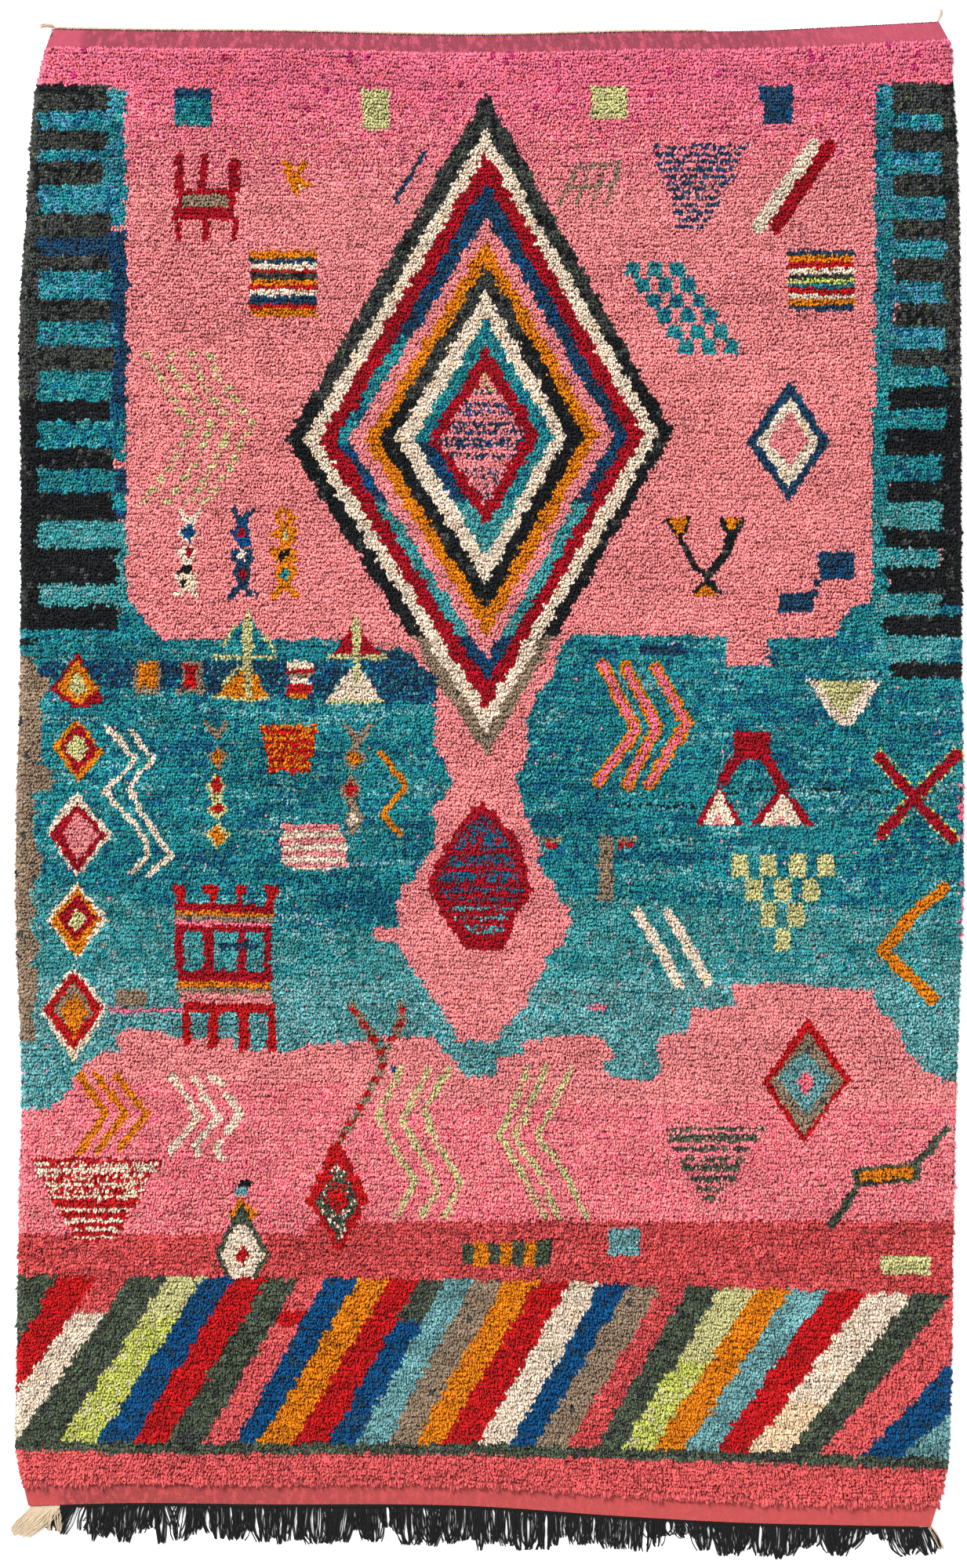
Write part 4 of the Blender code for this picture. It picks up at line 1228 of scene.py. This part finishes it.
# %% Gather threads into locks
# quarters of a knot on the chart: the columns where a lock's roots start and end, the same for its
# tips, and the row of its tips
LOCKS = (
    (77, 88, 49, 58, 1953), (84, 93, 60, 65, 1957), (88, 100, 71, 80, 1963), (106, 116, 97, 106, 1956),
    (110, 122, 108, 120, 1962), (119, 126, 115, 118, 1973), (122, 140, 124, 134, 1964),
    (135, 152, 128, 133, 1968), (140, 158, 142, 156, 1967), (152, 172, 150, 160, 1974),
    (165, 195, 162, 182, 1961), (185, 205, 190, 196, 1954), (196, 210, 200, 210, 1977),
    (206, 216, 216, 229, 1955), (225, 245, 221, 236, 1972), (238, 252, 238, 250, 1963),
    (246, 262, 250, 254, 1956), (255, 275, 264, 275, 1960), (268, 290, 274, 284, 1969),
    (285, 300, 290, 302, 1972), (298, 318, 300, 308, 1970), (306, 322, 313, 323, 1958),
    (318, 345, 328, 342, 1974), (340, 355, 344, 352, 1968), (350, 362, 353, 359, 1977),
    (358, 372, 362, 367, 1973), (360, 376, 358, 375, 1948), (375, 395, 377, 385, 1971),
    (385, 425, 388, 422, 1976), (420, 440, 415, 425, 1965), (430, 455, 428, 440, 1974),
    (445, 465, 452, 462, 1956), (455, 475, 462, 472, 1970), (465, 485, 470, 484, 1974),
    (480, 498, 488, 498, 1952), (498, 515, 503, 512, 1962), (505, 535, 515, 535, 1978),
    (530, 555, 535, 560, 1974), (550, 570, 545, 556, 1981), (560, 585, 560, 585, 1976),
    (580, 600, 580, 597, 1972), (595, 612, 600, 612, 1971), (606, 614, 610, 614, 1986),
    (612, 640, 618, 638, 1976), (635, 660, 640, 658, 1979), (655, 672, 662, 672, 1985),
    (668, 690, 672, 684, 1984), (685, 705, 690, 700, 1984), (700, 712, 700, 712, 1978),
    (710, 735, 713, 730, 1966), (728, 750, 728, 745, 1976), (745, 770, 745, 770, 1975),
    (765, 785, 768, 786, 1981), (785, 800, 784, 792, 1982), (795, 812, 795, 810, 1983),
    (810, 828, 808, 827, 1985), (825, 845, 828, 842, 1964), (830, 840, 834, 840, 1978),
    (840, 870, 843, 870, 1960), (865, 890, 865, 895, 1965), (885, 905, 893, 903, 1983),
    (900, 925, 903, 915, 1965), (905, 925, 918, 930, 1991), (925, 945, 930, 940, 1990),
    (930, 955, 935, 950, 1983), (950, 965, 945, 955, 1980), (960, 985, 965, 976, 1991),
    (978, 990, 978, 983, 1990), (985, 1005, 988, 996, 1995), (1000, 1020, 1000, 1012, 1990),
    (1015, 1035, 1016, 1026, 1978), (1025, 1045, 1031, 1042, 1976), (1045, 1065, 1055, 1068, 1985),
    (1055, 1090, 1060, 1080, 1990), (1080, 1105, 1074, 1088, 1978), (1100, 1120, 1103, 1120, 1958),
    (1120, 1135, 1128, 1133, 1967), (1135, 1140, 1134, 1137, 1971), (1137, 1165, 1155, 1166, 1989),
    (1155, 1175, 1160, 1172, 1980), (1165, 1186, 1183, 1196, 1988), (1182, 1189, 1200, 1208, 1979),
)
CREAM_LOCKS = (
    (39, 76, 3, 39, 1964), (43, 70, 2, 27, 1958), (47, 74, 14, 34, 1961), (63, 70, 59, 61, 1957),
    (70, 74, 75, 76, 1958),
)
CREAM_TAIL = ((1184, 1192, 1199, 1208, 1980),)
ROOTS_BEYOND = 0.002
BLACK_PITCH, CREAM_PITCH, TAIL_PITCH = 0.0018, 0.0009, 0.0022
BLACK_THREAD, CREAM_THREAD = 0.00115, 0.0012


def gather(locks, pitch, seed, bulge=0.9, strays=0.12):
    """Roots, tips and sideways bows of the threads in these locks. A few stray ones curl away."""
    luck = np.random.default_rng(seed)
    roots, tips, bows = [], [], []
    places = np.array(locks) * KNOT / 4
    places[:, :4] += CHART_LEFT
    places[:, 4] = CHART_TOP - places[:, 4]
    for root_from, root_to, tip_from, tip_to, tip_end in places:
        count = max(2, round((root_to - root_from) / pitch))
        place = (np.arange(count) + luck.uniform(0.1, 0.9, count)) / count
        root_x = root_from + (root_to - root_from) * place
        left, right = SIDES[-1, 1:]
        root_y = smooth((root_x - left) / (right - left), ENDS[:, 0], ENDS[:, 2]) - ROOTS_BEYOND
        shuffled = 0.5 + 0.5 * (np.clip(place + luck.normal(0, 0.35, count), 0, 1) - 0.5)
        roots.append(np.stack([root_x, root_y], axis=1))
        tip_y = tip_end - 0.006 + luck.exponential(0.0045, count)
        tip_y = np.minimum(tip_y, root_y - 0.012)
        tips.append(np.stack([tip_from + (tip_to - tip_from) * shuffled, tip_y], axis=1))
        bow = (place - 0.5) * (root_to - root_from) * bulge * luck.uniform(0.3, 1.0)
        bow += luck.normal(0, 0.0018, count)
        is_stray, way = luck.random(count) < strays, luck.choice((-1, 1), count)
        bows.append(bow + is_stray * way * luck.uniform(0.003, 0.009, count))
    return np.concatenate(roots), np.concatenate(tips), np.concatenate(bows)


black_threads = gather(LOCKS, BLACK_PITCH, 51)
cream_threads = gather(CREAM_LOCKS, CREAM_PITCH, 53, bulge=0.25, strays=0.1)
tail_threads = gather(CREAM_TAIL, TAIL_PITCH, 55, bulge=0.2, strays=0)
black_fringe = lay_threads("black_fringe", *black_threads, BLACK_THREAD, 52, lift=0.0038)
left_lock = lay_threads("cream_lock_left", *cream_threads, CREAM_THREAD, 54, lift=0.0045)
right_lock = lay_threads("cream_lock_right", *tail_threads, CREAM_THREAD, 56)

# %% Loose ends at the heading corners
# from the corner of the cloth to the tip of each loose warp
WARP_TIPS = np.array(((0.010, 0.030), (0.008, 0.027), (0.012, 0.026), (0.006, 0.029), (0.011, 0.022)))
FRAYED_THREADS = 22

right_corner = np.array([float(v) for v in on_rug(1.0, 0.0)])
loose_roots = np.tile(right_corner - (0.003, 0), (len(WARP_TIPS), 1))
loose_warp_end = lay_threads(
    "loose_warp_end", loose_roots, loose_roots + WARP_TIPS, np.full(len(WARP_TIPS), -0.002), 0.0011, 57
)
left_corner = np.array([float(v) for v in on_rug(0.0, 0.0)])
luck = np.random.default_rng(59)
frayed_roots = np.tile(left_corner + (0.006, 0.003), (FRAYED_THREADS, 1))
frayed_runs = [luck.uniform(-0.036, -0.018, FRAYED_THREADS), luck.uniform(-0.001, 0.006, FRAYED_THREADS)]
frayed_tips = frayed_roots + np.stack(frayed_runs, axis=1)
# two of its threads hang down beside the selvedge
frayed_roots = np.append(frayed_roots, [left_corner + (0.004, 0)] * 2, axis=0)
hanging_tips = [left_corner + (-0.003, -0.028), left_corner + (0.001, -0.022)]
frayed_tips = np.append(frayed_tips, hanging_tips, axis=0)
frayed_bows = np.full(len(frayed_roots), -0.003)
frayed_cord_end = lay_threads(
    "frayed_cord_end", frayed_roots, frayed_tips, frayed_bows, 0.0010, 58, lift=0.006
)

# %% [markdown]
# ## Wool and cotton finishes
# Every yarn on the rug is spun from fibres, so all of its materials share one node group. It takes a
# yarn's colour, streaks it with fine stretched noise, and gives the height of the fibres for a bump.
# The pile reads its colour from the attribute made above, and the ends have colours of their own.

# %% Fibre group
def new_group(name, inputs, outputs):
    """An empty shader node group with named sockets."""
    group = bpy.data.node_groups.new(name, "ShaderNodeTree")
    for label, kind, value in inputs:
        socket = group.interface.new_socket(label, in_out="INPUT", socket_type=kind)
        socket.default_value = value
    for label, kind in outputs:
        group.interface.new_socket(label, in_out="OUTPUT", socket_type=kind)
    return group, group.nodes.new("NodeGroupInput"), group.nodes.new("NodeGroupOutput")


fibre_group, taken, given = new_group(
    "spun fibre",
    (("Colour", "NodeSocketColor", (0.5, 0.5, 0.5, 1)), ("Fibres per Metre", "NodeSocketFloat", 900.0),
     ("Streaks", "NodeSocketFloat", 0.35)),
    (("Colour", "NodeSocketColor"), ("Height", "NodeSocketFloat")),
)
nodes, links = fibre_group.nodes, fibre_group.links
places = nodes.new("ShaderNodeTexCoord")
stretch = nodes.new("ShaderNodeMapping")
stretch.inputs["Scale"].default_value = (1.0, 0.45, 0.6)
fibres = nodes.new("ShaderNodeTexNoise")
fibres.inputs["Detail"].default_value = 3
fibres.inputs["Roughness"].default_value = 0.65
links.new(places.outputs["Object"], stretch.inputs["Vector"])
links.new(stretch.outputs["Vector"], fibres.inputs["Vector"])
links.new(taken.outputs["Fibres per Metre"], fibres.inputs["Scale"])
shade = nodes.new("ShaderNodeMapRange")
shade.inputs["From Min"].default_value = 0.3
shade.inputs["From Max"].default_value = 0.7
links.new(fibres.outputs["Fac"], shade.inputs["Value"])
darkest = nodes.new("ShaderNodeMath")
darkest.operation = "SUBTRACT"
darkest.inputs[0].default_value = 1
links.new(taken.outputs["Streaks"], darkest.inputs[1])
lightest = nodes.new("ShaderNodeMath")
lightest.operation = "ADD"
lightest.inputs[0].default_value = 1
links.new(taken.outputs["Streaks"], lightest.inputs[1])
links.new(darkest.outputs["Value"], shade.inputs["To Min"])
links.new(lightest.outputs["Value"], shade.inputs["To Max"])
tint = nodes.new("ShaderNodeVectorMath")
tint.operation = "SCALE"
links.new(taken.outputs["Colour"], tint.inputs[0])
links.new(shade.outputs["Result"], tint.inputs["Scale"])
links.new(tint.outputs["Vector"], given.inputs["Colour"])
links.new(fibres.outputs["Fac"], given.inputs["Height"])
print("group", fibre_group.name, "with", len(nodes), "nodes")


# %% Yarn materials
def yarn_material(name, colour, per_metre, streaks, bump, sheen):
    """A yarn of one colour. Without a colour, it reads the pile's attribute."""
    material = bpy.data.materials.new(name)
    material.use_nodes = True
    nodes, links = material.node_tree.nodes, material.node_tree.links
    shader = nodes["Principled BSDF"]
    shader.inputs["Roughness"].default_value = 0.92
    shader.inputs["Specular IOR Level"].default_value = 0.12
    shader.inputs["Sheen Weight"].default_value = sheen
    shader.inputs["Sheen Roughness"].default_value = 0.5
    fibre = nodes.new("ShaderNodeGroup")
    fibre.node_tree = fibre_group
    fibre.inputs["Fibres per Metre"].default_value = per_metre
    fibre.inputs["Streaks"].default_value = streaks
    if colour is None:
        # the pile's attribute holds its yarn colour with painted shade at the roots and painted light at
        # the tips
        dyed_and_shaded = nodes.new("ShaderNodeAttribute")
        dyed_and_shaded.attribute_name = "wool"
        links.new(dyed_and_shaded.outputs["Color"], fibre.inputs["Colour"])
    else:
        fibre.inputs["Colour"].default_value = (*colour, 1)
    relief = nodes.new("ShaderNodeBump")
    relief.inputs["Strength"].default_value = bump
    relief.inputs["Distance"].default_value = 0.001
    links.new(fibre.outputs["Colour"], shader.inputs["Base Color"])
    links.new(fibre.outputs["Height"], relief.inputs["Height"])
    links.new(relief.outputs["Normal"], shader.inputs["Normal"])
    return material, fibre


pile_wool, _ = yarn_material("pile wool", None, 520, 0.4, 0.8, 0.15)
black_yarn, _ = yarn_material("black warp yarn", (0.0055, 0.0052, 0.0055), 1200, 0.5, 0.6, 0.03)
cream_yarn, _ = yarn_material("cream warp yarn", (0.42, 0.325, 0.225), 1200, 0.3, 0.6, 0.1)
for piece in pile_panels:
    piece.data.materials.append(pile_wool)
for piece in (black_fringe, warp_dots, *rows):
    piece.data.materials.append(black_yarn)
for piece in (heading_cord, left_lock, right_lock, loose_warp_end, frayed_cord_end):
    piece.data.materials.append(cream_yarn)
print("yarn materials", pile_wool.name, black_yarn.name, cream_yarn.name)

# %% [markdown]
# ### Flat weave
# The end bands are woven plain over dark warps: magenta weft at the heading and coral weft at the
# fringe. The warps show between the wefts as small dark squares in offset rows, thick in some places
# and nearly none in others. The weave map made with the cloth counts in metres, so the squares keep
# their real size, and stretched noise makes the dark streaks along the warps. Under the pile the
# cloth is a dark painted shade, which shows in the gaps between the tufts.

# %% Flat weave material
WEAVE_PITCH, ROW_PITCH = 0.0048, 0.0034
HEADING_WEFT, FRINGE_WEFT = (0.325, 0.053, 0.084, 1), (0.345, 0.048, 0.047, 1)
# the dark colour under the pile is painted shade for the gaps between the tufts
WARP_COLOUR, PAINTED_SHADE_UNDER_PILE = (0.012, 0.004, 0.007, 1), (0.045, 0.02, 0.02, 1)


def node(tree, kind, links_in=(), **values):
    """A node with its values set, and its inputs linked from (input, output) pairs."""
    made = tree.nodes.new(kind)
    for label, value in values.items():
        if label.startswith("set_"):
            setattr(made, label[4:], value)
    for label, value in values.items():
        if not label.startswith("set_"):
            made.inputs[label.replace("_", " ")].default_value = value
    for label, output in links_in:
        tree.links.new(output, made.inputs[label])
    return made


flat_weave, fibre = yarn_material("flat weave", (0.60, 0.12, 0.13), 900, 0.3, 0.6, 0.1)
tree = flat_weave.node_tree
count_map = node(tree, "ShaderNodeUVMap", set_uv_map="weave").outputs["UV"]


def stretched(lengthways):
    """The weave map, with its lengthways places multiplied."""
    mapping = node(tree, "ShaderNodeMapping", (("Vector", count_map),), Scale=(1.0, lengthways, 1.0))
    return mapping.outputs["Vector"]


def noise(vector, **values):
    """Noise from 0 to 1 at these places."""
    return node(tree, "ShaderNodeTexNoise", (("Vector", vector),), **values).outputs["Fac"]


counted = (("Vector", stretched(WEAVE_PITCH / ROW_PITCH)),)
checks = node(tree, "ShaderNodeTexChecker", counted, Scale=2 / WEAVE_PITCH).outputs["Fac"]
streaks = noise(stretched(0.55), Scale=75, Detail=4, Roughness=0.7)
speckle = noise(count_map, Scale=420, Detail=2)
places = node(tree, "ShaderNodeSeparateXYZ", (("Vector", count_map),)).outputs


def ramp(value, low, high, to_low=0.0, to_high=1.0):
    """A value spread from one range to another."""
    return node(
        tree, "ShaderNodeMapRange", (("Value", value),),
        From_Min=low, From_Max=high, To_Min=to_low, To_Max=to_high,
    ).outputs["Result"]


def times(first, second):
    """Two values multiplied."""
    pair = ((0, first), (1, second))
    return node(tree, "ShaderNodeMath", pair, set_operation="MULTIPLY").outputs["Value"]


# the warps show less at both ends of the heading, and less and less along the fringe band
at_fringe = ramp(places["Y"], 1.3, 1.5)
thinner = ramp(times(at_fringe, ramp(places["X"], 0.05, 1.2, 0.1, 0.7)), 0, 1, 1, 0)
dark_warps = times(ramp(streaks, 0.40, 0.50, 0.1, 1.0), ramp(places["X"], 0.055, 0.075, 0.3, 1.0))
heading_x = times(places["X"], ramp(at_fringe, 0, 1, 1, 0))
dark_warps = times(dark_warps, ramp(heading_x, 1.4, 1.6, 1.0, 0.35))
dark_warps = times(times(dark_warps, ramp(speckle, 0.30, 0.36)), times(checks, thinner))
weft = node(
    tree, "ShaderNodeMix", (("Factor", at_fringe),), set_data_type="RGBA", A=HEADING_WEFT, B=FRINGE_WEFT
).outputs["Result"]
woven = node(
    tree, "ShaderNodeMix", (("Factor", dark_warps), ("A", weft)), set_data_type="RGBA", B=WARP_COLOUR
).outputs["Result"]
# painted shade: under the pile the cloth turns dark, so the gaps between the tufts read as shadow
last_knots = RUG_LENGTH - FRINGE_BAND
in_pile = times(
    ramp(places["Y"], HEADING_BAND - 0.004, HEADING_BAND + 0.004),
    ramp(places["Y"], last_knots - 0.004, last_knots + 0.004, 1.0, 0.0),
)
woven = node(
    tree, "ShaderNodeMix", (("Factor", in_pile), ("A", woven)), set_data_type="RGBA", B=PAINTED_SHADE_UNDER_PILE
).outputs["Result"]
tree.links.new(woven, fibre.inputs["Colour"])
relief = tree.nodes["Bump"]
ribs = node(tree, "ShaderNodeMath", ((0, checks), (1, fibre.outputs["Height"])), set_operation="ADD")
tree.links.new(ribs.outputs["Value"], relief.inputs["Height"])
ground_cloth.data.materials.append(flat_weave)
print("flat weave every", WEAVE_PITCH * 1000, "mm")

# %% [markdown]
# ## Fit to the frame
# Every piece rides on the model's one body. Each piece that stands for a CAD node names it, and that
# node is hidden. The table also lists the finish each one takes, though nothing here applies it. The
# pieces that lie on the cloth are gathered in a list.

# %% Ride and replace
STANDS_FOR = (
    (ground_cloth, "rug", "rose_wool"), (black_fringe, "fringe_black", "black_warp"),
    (left_lock, "fringe_cream_left", "cream_warp"), (right_lock, "fringe_cream_right", "cream_warp"),
    (heading_cord, "heading_cord", "cream_warp"), (loose_warp_end, "corner_warp_end", "cream_warp"),
)
for piece, cad_node, slot in STANDS_FOR:
    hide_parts(cad_node)
laid_on = [*pile_panels, heading_cord, warp_dots, *rows]
laid_on += [black_fringe, left_lock, right_lock, loose_warp_end, frayed_cord_end]
for piece in (ground_cloth, *laid_on):
    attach(piece, "root")
print(len(laid_on) + 1, "pieces on the rug's one body")

# %% Update the view layer
bpy.context.view_layer.update()
